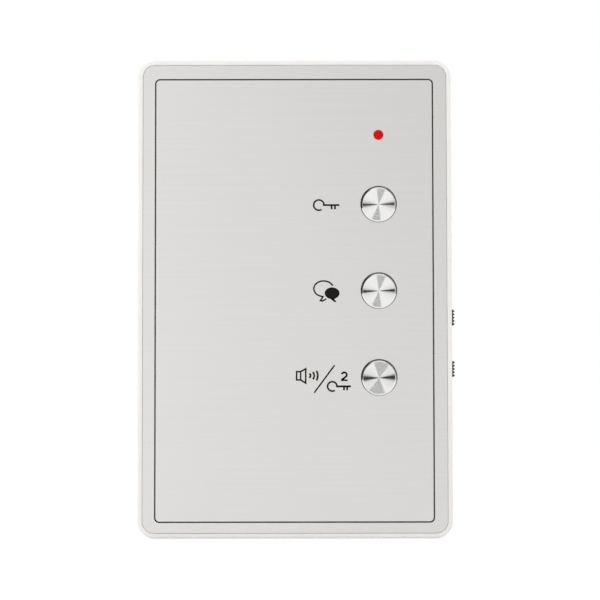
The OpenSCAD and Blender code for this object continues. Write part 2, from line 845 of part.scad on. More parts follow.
module lamp_leads() {
    color(steel_grey) onto_wall() at_lamp_leads()
        box([-lamp_lead_w / 2, -lamp_lead_w / 2, board_back - lamp_lead_out],
            [lamp_lead_w / 2, lamp_lead_w / 2, lamp_back]);
}

module lamp_spacer() {
    color(natural_plastic) onto_wall() difference() {
        translate([button_x, lamp_y, 0]) disc(lamp_d / 2 + spacer_wall, board_front, lamp_back);
        at_lamp_leads() disc(lead_hole_d / 2, board_front - past, lamp_back + past);
    }
}

module circuit_board() {
    color(board_green) onto_wall() difference() {
        translate([board_x, 0, 0]) rounded_slab(board_w, board_h, board_corner_r, board_back, board_front);
        at_board_screws() disc(board_hole_d / 2, board_back - past, board_front + past);
        at_lamp_leads() disc(lead_hole_d / 2, board_back - past, board_front + past);
        for (i = [0:1], k = [-1:1])
            translate([slider_pin_x, slider_mid_y(i) + k * slider_pin_pitch, 0])
                disc(slider_pin_hole_d / 2, board_back - past, board_front + past);
    }
}

// Pan-head self-tapping screw that points into the room, with its head under the given level
module tapping_screw(head_level, shank_len, head_r, head_t) {
    slot_w = 0.8;
    cross_r = head_r * 0.55;
    difference() {
        union() {
            disc(head_r, head_level - head_t, head_level);
            disc(pilot_d / 2 - seat_clear, head_level - head_t / 2, head_level + shank_len);
        }
        for (turn = [0, 90])
            rotate(turn) box([-cross_r, -slot_w / 2, head_level - head_t - past],
                             [cross_r, slot_w / 2, head_level - head_t / 2]);
    }
}

module board_screws() {
    shank_len = inner_z - board_back - board_screw_short;
    color(steel_grey) onto_wall() at_board_screws()
        tapping_screw(board_back, shank_len, board_screw_head_r, board_screw_head_t);
}

// Moulded chip with gull-wing legs along its two long sides
module chip(place, size, legs) {
    leg_pitch = size[1] / legs;
    leg_mid = size[0] / 2 + leg_reach / 2 - leg_root;
    color(dark_plastic) onto_wall() translate([place[0], place[1], board_front]) {
        box([-size[0] / 2, -size[1] / 2, leg_t / 2], [size[0] / 2, size[1] / 2, size[2]]);
        for (s = [-1, 1], k = [0:legs - 1])
            translate([s * leg_mid, -size[1] / 2 + (k + 0.5) * leg_pitch, leg_t / 2])
                cube([leg_reach, leg_w, leg_t], center = true);
    }
}

module controller_chip() {
    chip(controller_place, controller_size, controller_legs);
}

module amplifier_chip() {
    chip(amplifier_place, amplifier_size, amplifier_legs);
}

module capacitors() {
    groove_r = 0.4;
    groove_z = capacitor_h / 5;
    color(dark_plastic) onto_wall() for (place = capacitor_places)
        translate([place[0], place[1], board_front]) rotate_extrude() difference() {
            square([capacitor_d / 2, capacitor_h]);
            translate([capacitor_d / 2 + groove_r / 2, groove_z]) circle(r = groove_r);
        }
}

module at_terminals() {
    for (k = [0:terminal_count - 1])
        translate([terminal_x + (k - (terminal_count - 1) / 2) * terminal_pitch, 0, 0]) children();
}

// Terminal block with a screw well at the back and a wire entry below for each wire
module terminal_block() {
    well_r = terminal_screw_d / 2 + terminal_screw_play;
    entry_top = board_back - terminal_floor;
    color(terminal_green) onto_wall() difference() {
        box([terminal_x - terminal_w / 2, -terminal_h / 2, terminal_back],
            [terminal_x + terminal_w / 2, terminal_h / 2, board_back]);
        at_terminals() disc(well_r, terminal_back - past, terminal_back + terminal_depth / 2);
        at_terminals() box([-terminal_entry / 2, -terminal_h / 2 - past, entry_top - terminal_entry],
                           [terminal_entry / 2, terminal_h / 4, entry_top]);
    }
}

module terminal_screws() {
    slot_w = 0.5;
    slot_depth = 0.6;
    head_back = terminal_back + terminal_screw_sunk;
    color(steel_grey) onto_wall() at_terminals() difference() {
        disc(terminal_screw_d / 2, head_back, terminal_back + terminal_depth / 2);
        box([-terminal_screw_d, -slot_w / 2, head_back - past],
            [terminal_screw_d, slot_w / 2, head_back + slot_depth]);
    }
}

// Pressed steel basket with four windows and two soldering tags
module speaker_basket() {
    neck_r = magnet_d / 2 + basket_neck;
    back_z = speaker_back + magnet_t;
    sheet = basket_sheet;
    half_window = basket_window_w / 2;
    color(magnet_grey) onto_wall() translate([speaker_x, speaker_y, 0]) {
        difference() {
            rotate_extrude() polygon([
                [0, back_z], [neck_r, back_z],
                [basket_inner_r + sheet, speaker_level], [speaker_r, speaker_level],
                [speaker_r, speaker_front], [basket_inner_r, speaker_front], [basket_inner_r, speaker_level],
                [neck_r - sheet, back_z + sheet], [0, back_z + sheet]
            ]);
            for (k = [0:3])
                rotate(90 * k) box([neck_r, -half_window, back_z + 2 * sheet],
                                   [speaker_r, half_window, speaker_level - sheet]);
        }
        rotate(tag_angle) box([basket_inner_r - tag_in, -tag_w / 2, speaker_level - tag_t],
                              [basket_inner_r + tag_out, tag_w / 2, speaker_level]);
    }
}

module speaker_magnet() {
    color(steel_grey) onto_wall() translate([speaker_x, speaker_y, 0])
        disc(magnet_d / 2, speaker_back, speaker_back + magnet_t);
}

// Paper cone with its flat edge, the voice coil former and a domed dust cap
module speaker_cone() {
    edge_outer_r = speaker_r - seat_w - cone_edge_gap;
    edge_inner_r = edge_outer_r - cone_edge_w;
    coil_r = magnet_d / 3;
    paper = cone_paper_t;
    coil_back = speaker_back + magnet_t + coil_clear;
    coil_front = coil_back + coil_len;
    dome_r = coil_r * 1.5;
    dome_mid = coil_front - sqrt(dome_r * dome_r - coil_r * coil_r);
    color(foam_grey) onto_wall() translate([speaker_x, speaker_y, 0]) rotate_extrude() {
        polygon([
            [edge_outer_r, speaker_front], [edge_outer_r, speaker_front + paper],
            [edge_inner_r, speaker_front + paper], [coil_r, coil_front + paper],
            [coil_r - paper, coil_front + paper], [coil_r - paper, coil_back], [coil_r, coil_back],
            [coil_r, coil_front], [edge_inner_r, speaker_front]
        ]);
        intersection() {
            difference() {
                translate([0, dome_mid]) circle(r = dome_r + paper);
                translate([0, dome_mid]) circle(r = dome_r);
            }
            translate([0, coil_front]) square([coil_r - paper / 2, dome_r]);
        }
    }
}

module speaker_gasket() {
    color(dark_plastic) onto_wall() translate([speaker_x, speaker_y, 0]) difference() {
        disc(speaker_r - gasket_inset, speaker_front, seat_z);
        disc(speaker_r - seat_w + gasket_inset, speaker_front - past, seat_z + past);
    }
}

module speaker_screws() {
    shank_len = inner_z - speaker_level - tip_gap;
    color(steel_grey) onto_wall() at_speaker_screws()
        tapping_screw(speaker_level, shank_len, speaker_screw_head_r, speaker_screw_head_t);
}

// Pair of insulated leads side by side from a start to a plug, spread along the given directions
module lead_pair(from, from_spread, leave, to, to_spread, arrive) {
    color(wire_red) onto_wall() for (s = [-0.5, 0.5])
        wire(lead_path(from + s * lead_pitch * from_spread, leave, to + s * lead_pitch * to_spread, arrive,
                       lead_stub, lead_steps), lead_r, lead_sides);
}

module lead_plug(y) {
    color(natural_plastic) onto_wall() translate([plug_x, y, board_front]) {
        box([-plug_w / 2, -plug_h / 2, 0], [plug_w / 2, plug_h / 2, plug_t]);
        box([-plug_w / 4, -plug_h / 4, plug_t], [plug_w / 4, plug_h / 4, plug_t + plug_latch]);
    }
}

function plug_entry(y) = [plug_x - plug_w / 2, y, board_front + plug_t / 2];

module speaker_leads() {
    tag_r = basket_inner_r + (tag_out - tag_in) / 2;
    tag_level = speaker_level - tag_t - lead_r - seat_clear;
    tag = [speaker_x + tag_r * cos(tag_angle), speaker_y + tag_r * sin(tag_angle), tag_level];
    across_tag = [-sin(tag_angle), cos(tag_angle), 0];
    leave = [tag_lead_side, -tag_lead_drop, -tag_lead_sink];
    arrive = [-speaker_plug_run, 0, 0];
    lead_pair(tag, across_tag, leave, plug_entry(speaker_plug_y), [0, 1, 0], arrive);
}

module speaker_plug() {
    lead_plug(speaker_plug_y);
}

module microphone() {
    color(steel_grey) onto_wall() translate([-microphone_x, capsule_front + capsule_len, microphone_z])
        rotate([90, 0, 0]) cylinder(r = capsule_d / 2, h = capsule_len);
}

// Rubber boot with a pocket for the capsule and a sound channel to the hole in the wall
module microphone_boot() {
    color(dark_plastic) onto_wall() translate([-microphone_x, boot_end, microphone_z]) rotate([90, 0, 0])
        difference() {
            cylinder(r = boot_r, h = boot_len);
            disc(capsule_d / 2 + seat_clear, -past, boot_end - capsule_front);
            disc(sound_hole_d / 2, 0, boot_len + past);
        }
}

module microphone_leads() {
    start = [-microphone_x, capsule_front + capsule_len + seat_clear, microphone_z];
    leave = [0, microphone_lead_rise, 0];
    arrive = [-microphone_plug_run, 0, 0];
    lead_pair(start, [-1, 0, 0], leave, plug_entry(microphone_plug_y), [0, 1, 0], arrive);
}

module microphone_plug() {
    lead_plug(microphone_plug_y);
}

// Outline of a slot for a flush box screw, widened by the given margin
module screw_slot(margin) {
    half_run = (slot_len - screw_hole_d) / 2;
    for (s = [-1, 1]) translate([s * half_run, 0]) circle(d = screw_hole_d + 2 * margin);
    square([2 * half_run, screw_hole_d + 2 * margin], center = true);
}

// Tongue with a barb that snaps into the wall of the housing, at the top edge of the base
module snap_tongue() {
    edge = base_h / 2;
    translate([-snap_w / 2, 0, 0]) rotate([90, 0, 90]) linear_extrude(snap_w) polygon([
        [edge - snap_t, 0], [edge, 0], [edge, barb_z], [edge + barb_reach, barb_z],
        [edge + barb_reach, barb_z + barb_land], [edge, barb_z + barb_h], [edge, tongue_top],
        [edge - snap_t, tongue_top]
    ]);
}

// Wall base: plate with a stiffening rim, a framed cable window, screw slots and snap tongues
module wall_base() {
    color(natural_plastic) onto_wall() difference() {
        union() {
            rounded_slab(base_w, base_h, base_r, 0, base_t);
            difference() {
                rounded_slab(base_w, base_h, base_r, base_t / 2, base_t + base_rim_h);
                rounded_slab(base_w - 2 * base_rim_t, base_h - 2 * base_rim_t, base_r,
                             base_t, base_t + unit_d);
                for (x = [-1, 1])
                    translate([x * snap_x, 0, base_t + unit_d / 2])
                        cube([snap_w + 2 * tongue_relief, unit_h, unit_d], center = true);
            }
            for (x = [-1, 1], turn = [0, 180]) translate([x * snap_x, 0, 0]) rotate(turn) snap_tongue();
            rounded_slab(window_w + 2 * window_frame_t, window_h + 2 * window_frame_t,
                         window_r + window_frame_t, base_t / 2, base_t + window_frame_h);
            for (x = [-1, 1]) translate([x * box_spacing / 2, 0, base_t / 2])
                linear_extrude(base_t / 2 + screw_pad_t) screw_slot(screw_pad_w);
            for (y = [-1, 1]) translate([0, y * plug_spacing / 2, 0])
                disc(screw_hole_d / 2 + screw_pad_w, base_t / 2, base_t + screw_pad_t);
        }
        rounded_slab(window_w, window_h, window_r, -past, base_t + window_frame_h + past);
        for (x = [-1, 1]) translate([x * box_spacing / 2, 0, -past]) linear_extrude(unit_d) screw_slot(0);
        for (y = [-1, 1]) translate([0, y * plug_spacing / 2, 0]) disc(screw_hole_d / 2, -past, unit_d);
    }
}

module unlock_cap() { button_cap(0); }
module talk_cap() { button_cap(1); }
module auxiliary_cap() { button_cap(2); }
module unlock_plunger() { button_plunger(0); }
module talk_plunger() { button_plunger(1); }
module auxiliary_plunger() { button_plunger(2); }
module unlock_spring() { button_spring(0); }
module talk_spring() { button_spring(1); }
module auxiliary_spring() { button_spring(2); }
module unlock_switch() { switch_body(0); }
module talk_switch() { switch_body(1); }
module auxiliary_switch() { switch_body(2); }
module unlock_actuator() { switch_actuator(0); }
module talk_actuator() { switch_actuator(1); }
module auxiliary_actuator() { switch_actuator(2); }
module call_volume_knob() { slider_knob(0); }
module talk_volume_knob() { slider_knob(1); }
module call_volume_can() { slider_can(0); }
module talk_volume_can() { slider_can(1); }
module call_volume_base() { slider_base(0); }
module talk_volume_base() { slider_base(1); }

front_housing();
face_plate();
border_ink();
plate_adhesive();
unlock_cap();
talk_cap();
auxiliary_cap();
unlock_plunger();
talk_plunger();
auxiliary_plunger();
unlock_spring();
talk_spring();
auxiliary_spring();
unlock_switch();
talk_switch();
auxiliary_switch();
unlock_actuator();
talk_actuator();
auxiliary_actuator();
call_volume_knob();
talk_volume_knob();
call_volume_can();
talk_volume_can();
call_volume_base();
talk_volume_base();
call_lamp();
lamp_leads();
lamp_spacer();
circuit_board();
board_screws();
controller_chip();
amplifier_chip();
capacitors();
terminal_block();
terminal_screws();
speaker_basket();
speaker_magnet();
speaker_cone();
speaker_gasket();
speaker_screws();
speaker_leads();
speaker_plug();
microphone();
microphone_boot();
microphone_leads();
microphone_plug();
wall_base();
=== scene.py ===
"""Looks of a hands-free audio intercom station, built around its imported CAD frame.

The station is a white moulded housing with a brushed metal face plate, three turned metal buttons,
a red call lamp and two slide switches in its right-hand side. Lengths are metres in the frame of
the CAD part: x to the right, y into the wall and z up. Fields that end in _mm are millimetres. The
print on the face plate, the turned face of the button caps, the return springs and the wiring on
the back of the circuit board are modelled here. The other CAD solids keep their shape and are
dressed.
"""

import json
import logging
import math
from collections.abc import Iterable, Sequence
from dataclasses import dataclass, field
from enum import Enum
from typing import Union

import bmesh
import bpy
from mathutils import Matrix, Vector


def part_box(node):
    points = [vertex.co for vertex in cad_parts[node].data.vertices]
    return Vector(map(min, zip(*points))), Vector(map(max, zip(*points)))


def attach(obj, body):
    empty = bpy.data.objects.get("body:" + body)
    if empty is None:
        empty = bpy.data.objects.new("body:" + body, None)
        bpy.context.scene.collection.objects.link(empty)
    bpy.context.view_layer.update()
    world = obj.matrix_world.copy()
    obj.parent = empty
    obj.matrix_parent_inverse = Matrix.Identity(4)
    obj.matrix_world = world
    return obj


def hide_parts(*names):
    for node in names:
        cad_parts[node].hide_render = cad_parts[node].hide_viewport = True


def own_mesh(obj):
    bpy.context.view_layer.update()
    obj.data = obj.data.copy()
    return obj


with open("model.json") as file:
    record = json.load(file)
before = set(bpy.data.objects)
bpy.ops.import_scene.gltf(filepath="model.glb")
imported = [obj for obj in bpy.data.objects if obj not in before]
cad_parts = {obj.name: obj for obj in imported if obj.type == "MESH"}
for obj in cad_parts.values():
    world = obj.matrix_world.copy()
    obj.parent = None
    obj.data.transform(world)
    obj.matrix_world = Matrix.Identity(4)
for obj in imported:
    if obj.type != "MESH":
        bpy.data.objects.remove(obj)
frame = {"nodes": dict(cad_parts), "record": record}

LOG = logging.getLogger("intercom_station")
MM = 0.001
WELD_MM = 0.001

Colour = tuple[float, float, float, float]
Point = tuple[float, float]
Pair = tuple[float, float]
Value = Union[float, Vector, Colour, bpy.types.NodeSocket]


class Body(Enum):
    """The CAD bodies that pieces ride on."""

    STATION = "station"
    UNLOCK = "unlock_button"
    TALK = "talk_button"
    AUXILIARY = "auxiliary_button"


class Slot(Enum):
    """The record's material slots that the pieces made here match."""

    PRINT = "print_ink"
    CAP = "cap_metal"
    SPRING = "spring_steel"
    BOARD = "board_laminate"
    LEAD = "lead_metal"
    CHIP = "chip_epoxy"


class Button(Enum):
    """The three push buttons, from the top down."""

    UNLOCK = "unlock"
    TALK = "talk"
    AUXILIARY = "auxiliary"


def srgb(red: int, green: int, blue: int) -> Colour:
    """Turns a display colour into a linear one.

    Args:
        red: Display red, 0 to 255.
        green: Display green, 0 to 255.
        blue: Display blue, 0 to 255.

    Returns:
        The linear colour with full alpha.
    """
    parts = [channel / 255 for channel in (red, green, blue)]
    linear = [
        part / 12.92 if part <= 0.04045 else ((part + 0.055) / 1.055) ** 2.4 for part in parts
    ]
    return (linear[0], linear[1], linear[2], 1.0)


def shade(colour: Colour, factor: float) -> Colour:
    """Makes a colour lighter or darker.

    Args:
        colour: The linear colour to start from.
        factor: What each channel is multiplied by.

    Returns:
        The new colour, with no channel above 1.
    """
    red, green, blue = (min(1.0, channel * factor) for channel in colour[:3])
    return (red, green, blue, 1.0)


class Graph:
    """A node tree filled by small calls that hand back output sockets."""

    def __init__(self, tree: bpy.types.NodeTree) -> None:
        """Empties the tree and keeps it."""
        tree.nodes.clear()
        self.tree = tree

    def add(self, kind: str, **settings: object) -> bpy.types.Node:
        """Adds a node.

        Args:
            kind: The node's type name without its ShaderNode prefix.
            settings: Properties to set on the node.

        Returns:
            The new node.
        """
        node = self.tree.nodes.new("ShaderNode" + kind)
        for name, value in settings.items():
            setattr(node, name, value)
        return node

    def feed(self, socket: bpy.types.NodeSocket, value: Value) -> None:
        """Links another socket to this one, or sets its constant.

        Args:
            socket: The input that is fed.
            value: The socket to link, or the constant.
        """
        if isinstance(value, bpy.types.NodeSocket):
            self.tree.links.new(value, socket)
        else:
            socket.default_value = value

    def math(self, operation: str, *values: Value) -> bpy.types.NodeSocket:
        """Adds one step of arithmetic.

        Args:
            operation: Blender's name for the operation.
            values: Numbers or sockets to work on.

        Returns:
            The result's socket.
        """
        node = self.add("Math", operation=operation)
        for socket, value in zip(node.inputs, values):
            self.feed(socket, value)
        return node.outputs[0]

    def vector(self, operation: str, *values: Value) -> bpy.types.Node:
        """Adds one step of vector arithmetic.

        Args:
            operation: Blender's name for the operation.
            values: Vectors or sockets to work on.

        Returns:
            The node, whose outputs differ with the operation.
        """
        node = self.add("VectorMath", operation=operation)
        for socket, value in zip(node.inputs, values):
            self.feed(socket, value)
        return node

    def ease(self, value: Value, start: float, end: float) -> bpy.types.NodeSocket:
        """Rises smoothly from 0 to 1.

        Args:
            value: The socket that is read.
            start: Where the rise begins.
            end: Where the rise is done.

        Returns:
            The eased value's socket.
        """
        node = self.add("MapRange", interpolation_type="SMOOTHSTEP")
        self.feed(node.inputs["Value"], value)
        node.inputs["From Min"].default_value = start
        node.inputs["From Max"].default_value = end
        return node.outputs["Result"]

    def span(self, value: Value, low: float, high: float) -> bpy.types.NodeSocket:
        """Spreads a value from 0 to 1 over another range.

        Args:
            value: The socket that is read.
            low: What 0 becomes.
            high: What 1 becomes.

        Returns:
            The spread value's socket.
        """
        node = self.add("MapRange")
        self.feed(node.inputs["Value"], value)
        node.inputs["To Min"].default_value = low
        node.inputs["To Max"].default_value = high
        return node.outputs["Result"]

    def around(self, value: Value, middle: float, change: float) -> bpy.types.NodeSocket:
        """Spreads a value from 0 to 1 evenly about a middle."""
        return self.span(value, middle - change, middle + change)

    def place(self, scale: Vector, offset: Vector = Vector((0, 0, 0))) -> bpy.types.NodeSocket:
        """Reads where a point lies on the piece.

        Args:
            scale: What each axis is multiplied by, after the offset.
            offset: What is added to the place first, in metres.

        Returns:
            The scaled place's socket.
        """
        node = self.add("Mapping")
        self.feed(node.inputs["Vector"], self.add("TexCoord").outputs["Object"])
        node.inputs["Scale"].default_value = scale
        node.inputs["Location"].default_value = Vector(o * s for o, s in zip(offset, scale))
        return node.outputs["Vector"]

    def noise(self, place: bpy.types.NodeSocket, detail: float = 2.0) -> bpy.types.NodeSocket:
        """Adds soft noise with cells of about one unit.

        Args:
            place: The scaled place that the noise is read at.
            detail: How many finer layers are added.

        Returns:
            The noise value's socket.
        """
        node = self.add("TexNoise")
        self.feed(node.inputs["Vector"], place)
        node.inputs["Scale"].default_value = 1.0
        node.inputs["Detail"].default_value = detail
        return node.outputs["Fac"]

    def mix(self, factor: Value, low: Value, high: Value) -> bpy.types.NodeSocket:
        """Mixes two colours.

        Args:
            factor: 0 for the low colour, 1 for the high one.
            low: The first colour.
            high: The second colour.

        Returns:
            The mixed colour's socket.
        """
        node = self.add("Mix", data_type="RGBA")
        self.feed(node.inputs["Factor"], factor)
        self.feed(node.inputs[6], low)
        self.feed(node.inputs[7], high)
        return node.outputs[2]

    def blend(self, factor: Value, low: Value, high: Value) -> bpy.types.NodeSocket:
        """Mixes two numbers.

        Args:
            factor: 0 for the low number, 1 for the high one.
            low: The first number.
            high: The second number.

        Returns:
            The mixed number's socket.
        """
        node = self.add("Mix", data_type="FLOAT")
        for name, value in (("Factor", factor), ("A", low), ("B", high)):
            self.feed(node.inputs[name], value)
        return node.outputs["Result"]

    def bump(self, height: Value, depth: float) -> bpy.types.NodeSocket:
        """Raises the surface by a height from 0 to 1.

        Args:
            height: The height's socket.
            depth: What a height of 1 stands for, in metres.

        Returns:
            The new normal's socket.
        """
        node = self.add("Bump")
        self.feed(node.inputs["Height"], height)
        node.inputs["Distance"].default_value = depth
        return node.outputs["Normal"]

    def surface(self, **inputs: Value) -> None:
        """Ends the tree in one principled shader.

        Args:
            inputs: The shader's sockets by name, with _ for a space.
        """
        shader = self.add("BsdfPrincipled")
        for name, value in inputs.items():
            self.feed(shader.inputs[name.replace("_", " ")], value)
        output = self.add("OutputMaterial")
        self.tree.links.new(shader.outputs["BSDF"], output.inputs["Surface"])


@dataclass(frozen=True)
class Finish:
    """What all finishes share: a name and a colour."""

    name: str
    colour: Colour

    def material(self) -> bpy.types.Material:
        """Gives the finish's material, made on first use.

        Returns:
            The material, shared by all pieces in this finish.
        """
        known = bpy.data.materials.get(self.name)
        if known:
            return known
        made = bpy.data.materials.new(self.name)
        made.use_nodes = True
        self.paint(Graph(made.node_tree))
        made.diffuse_color = self.colour
        return made

    def paint(self, graph: Graph) -> None:
        """Fills the material's node tree."""
        graph.surface(Base_Color=self.colour)

    def shades(
        self, graph: Graph, factor: bpy.types.NodeSocket, low: float, high: float
    ) -> bpy.types.NodeSocket:
        """Mixes two shades of the finish's colour.

        Args:
            graph: The tree to add to.
            factor: 0 for the low shade, 1 for the high one.
            low: What the colour is multiplied by at 0.
            high: What it is multiplied by at 1.

        Returns:
            The mixed colour's socket.
        """
        return graph.mix(factor, shade(self.colour, low), shade(self.colour, high))


@dataclass(frozen=True)
class MouldedPlastic(Finish):
    """Plastic with the fine grain of a textured mould and a faint mottle.

    Pale kinds let some light in, which scatters back out.
    """

    roughness: float = 0.45
    grain_mm: float = 0.35
    grain_depth_mm: float = 0.006
    mottle: float = 0.03
    glow: float = 0.0
    glow_mm: float = 1.2
    glow_reach: Vector = Vector((1.0, 0.9, 0.8))
    grain_layers: float = 3.0
    mottle_grains: float = 40.0
    gloss_change: float = 0.06

    def paint(self, graph: Graph) -> None:
        """Fills the material's node tree.

        Args:
            graph: The tree to fill.
        """
        fine = 1 / (self.grain_mm * MM)
        grain = graph.noise(graph.place(Vector.Fill(3, fine)), self.grain_layers)
        cloud = graph.noise(graph.place(Vector.Fill(3, fine / self.mottle_grains)))
        graph.surface(
            Base_Color=self.shades(graph, cloud, 1 - self.mottle, 1 + self.mottle),
            Roughness=graph.around(grain, self.roughness, self.gloss_change),
            Subsurface_Weight=self.glow,
            Subsurface_Radius=self.glow_reach,
            Subsurface_Scale=self.glow_mm * MM,
            Normal=graph.bump(grain, self.grain_depth_mm * MM),
        )


@dataclass(frozen=True)
class BrushedMetal(Finish):
    """Sheet metal brushed along x, so that its shine is drawn out along z."""

    roughness: float = 0.45
    streak_mm: float = 26.0
    pitch_mm: float = 0.16
    contrast: float = 0.07
    coarse_length: float = 2.0
    coarse_width: float = 6.0
    coarse_share: float = 0.5
    gloss_change: float = 0.08
    drawn_out: float = 0.9

    def paint(self, graph: Graph) -> None:
        """Fills the material's node tree.

        Args:
            graph: The tree to fill.
        """
        along = 1 / (self.streak_mm * MM)
        across = 1 / (self.pitch_mm * MM)
        broad = Vector((along / self.coarse_length, 1, across / self.coarse_width))
        coarse = graph.noise(graph.place(broad))
        fine = graph.noise(graph.place(Vector((along, 1, across))))
        rest = graph.math("MULTIPLY", fine, 1 - self.coarse_share)
        streak = graph.math("MULTIPLY_ADD", coarse, self.coarse_share, rest)
        tangent = graph.add("CombineXYZ")
        tangent.inputs["Z"].default_value = 1.0
        graph.surface(
            Base_Color=self.shades(graph, streak, 1 - self.contrast, 1 + self.contrast),
            Metallic=1.0,
            Roughness=graph.around(streak, self.roughness, self.gloss_change),
            Anisotropic=self.drawn_out,
            Tangent=tangent.outputs["Vector"],
        )


@dataclass(frozen=True)
class TurnedMetal(Finish):
    """Bright metal faced on a lathe about an axis along y.

    Its tint and gloss change a little from ring to ring.
    """

    centre: Vector = Vector((0, 0, 0))
    roughness: float = 0.1
    ring_mm: float = 0.12
    contrast: float = 0.03
    ring_layers: float = 1.0
    gloss_change: float = 0.04

    def paint(self, graph: Graph) -> None:
        """Fills the material's node tree.

        Args:
            graph: The tree to fill.
        """
        arm = graph.place(Vector((1, 0, 1)), -self.centre)
        radius = graph.vector("LENGTH", arm).outputs["Value"]
        ring = graph.add("TexNoise", noise_dimensions="1D")
        graph.feed(ring.inputs["W"], graph.math("MULTIPLY", radius, 1 / (self.ring_mm * MM)))
        ring.inputs["Scale"].default_value = 1.0
        ring.inputs["Detail"].default_value = self.ring_layers
        wear = ring.outputs["Fac"]
        graph.surface(
            Base_Color=self.shades(graph, wear, 1 - self.contrast, 1 + self.contrast),
            Metallic=1.0,
            Roughness=graph.around(wear, self.roughness, self.gloss_change),
        )


@dataclass(frozen=True)
class RolledMetal(Finish):
    """Plain sheet, wire or screw metal with fine rolling marks and a cloudy sheen."""

    roughness: float = 0.32
    mark_mm: float = 0.2
    contrast: float = 0.08
    mark_length: float = 12.0
    mark_layers: float = 3.0
    mark_depth_mm: float = 0.002
    cloud_marks: float = 20.0
    gloss_change: float = 0.1

    def paint(self, graph: Graph) -> None:
        """Fills the material's node tree.

        Args:
            graph: The tree to fill.
        """
        fine = 1 / (self.mark_mm * MM)
        drawn = Vector((fine / self.mark_length, fine, fine))
        marks = graph.noise(graph.place(drawn), self.mark_layers)
        cloud = graph.noise(graph.place(Vector.Fill(3, fine / self.cloud_marks)))
        graph.surface(
            Base_Color=self.shades(graph, cloud, 1 - self.contrast, 1 + self.contrast),
            Metallic=1.0,
            Roughness=graph.around(marks, self.roughness, self.gloss_change),
            Normal=graph.bump(marks, self.mark_depth_mm * MM),
        )


@dataclass(frozen=True)
class PrintedInk(Finish):
    """Screen-printed ink with a slightly uneven film."""

    spots_per_m: float = 6000.0
    spot_layers: float = 3.0
    thin: float = 0.8
    thick: float = 1.25
    glossiest: float = 0.5
    dullest: float = 0.7
    shine: float = 0.12
    depth_mm: float = 0.002

    def paint(self, graph: Graph) -> None:
        """Fills the material's node tree.

        Args:
            graph: The tree to fill.
        """
        film = graph.noise(graph.place(Vector.Fill(3, self.spots_per_m)), self.spot_layers)
        graph.surface(
            Base_Color=self.shades(graph, film, self.thin, self.thick),
            Roughness=graph.span(film, self.glossiest, self.dullest),
            Specular_IOR_Level=self.shine,
            Normal=graph.bump(film, self.depth_mm * MM),
        )


@dataclass(frozen=True)
class DiffusingResin(Finish):
    """Tinted cast resin that scatters the light inside it."""

    roughness: float = 0.35
    clouds_per_m: float = 2500.0
    contrast: float = 0.06
    scatter: float = 0.25
    scatter_reach: Vector = Vector((0.0012, 0.0002, 0.0002))
    shine: float = 0.06

    def paint(self, graph: Graph) -> None:
        """Fills the material's node tree.

        Args:
            graph: The tree to fill.
        """
        haze = graph.noise(graph.place(Vector.Fill(3, self.clouds_per_m)))
        graph.surface(
            Base_Color=self.shades(graph, haze, 1 - self.contrast, 1 + self.contrast),
            Roughness=self.roughness,
            Subsurface_Weight=self.scatter,
            Subsurface_Radius=self.scatter_reach,
            Subsurface_Scale=1.0,
            Specular_IOR_Level=self.shine,
        )


@dataclass(frozen=True)
class FibreSheet(Finish):
    """Paper, foam or felt: matt, with coarse fibres or cells."""

    cell_mm: float = 0.5
    depth_mm: float = 0.06
    crest: float = 1.1
    pit: float = 0.75
    roughness: float = 0.95
    shine: float = 0.2

    def paint(self, graph: Graph) -> None:
        """Fills the material's node tree.

        Args:
            graph: The tree to fill.
        """
        coarse = 1 / (self.cell_mm * MM)
        cells = graph.add("TexVoronoi")
        graph.feed(cells.inputs["Vector"], graph.place(Vector.Fill(3, coarse)))
        cells.inputs["Scale"].default_value = 1.0
        distance = cells.outputs["Distance"]
        graph.surface(
            Base_Color=self.shades(graph, distance, self.crest, self.pit),
            Roughness=self.roughness,
            Specular_IOR_Level=self.shine,
            Normal=graph.bump(distance, self.depth_mm * MM),
        )


@dataclass(frozen=True)
class Laminate(Finish):
    """Circuit-board laminate under solder mask, with the weave of its glass cloth in sight."""

    weave_mm: float = 0.6
    weave_depth_mm: float = 0.006
    contrast: float = 0.1
    roughness: float = 0.31
    gloss_change: float = 0.05

    def paint(self, graph: Graph) -> None:
        """Fills the material's node tree.

        Args:
            graph: The tree to fill.
        """
        turns = math.tau / (self.weave_mm * MM)
        split = graph.add("SeparateXYZ")
        graph.feed(split.inputs["Vector"], graph.place(Vector.Fill(3, turns)))
        warp = graph.math("SINE", split.outputs["X"])
        weft = graph.math("SINE", split.outputs["Z"])
        weave = graph.math("MULTIPLY_ADD", graph.math("MULTIPLY", warp, weft), 0.5, 0.5)
        graph.surface(
            Base_Color=self.shades(graph, weave, 1 - self.contrast, 1 + self.contrast),
            Roughness=graph.around(weave, self.roughness, self.gloss_change),
            Normal=graph.bump(weave, self.weave_depth_mm * MM),
        )


# After its name and colour, a plastic gives its roughness and the grain's size and depth in mm,
# a rolled metal its roughness and the size of its marks, a sheet the size and depth of its cells.
CAP_COLOUR = srgb(234, 234, 232)
BLACK_INK = PrintedInk("black_print_ink", srgb(24, 20, 17))
SPRING_STEEL = RolledMetal("spring_steel_wire", srgb(176, 176, 172), 0.28, 0.15)
BOARD_TRACK = MouldedPlastic("masked_copper_track", srgb(58, 138, 84), 0.3, 0.5, 0.002)
SOLDER = RolledMetal("bright_solder", srgb(206, 206, 202), 0.24, 0.3)

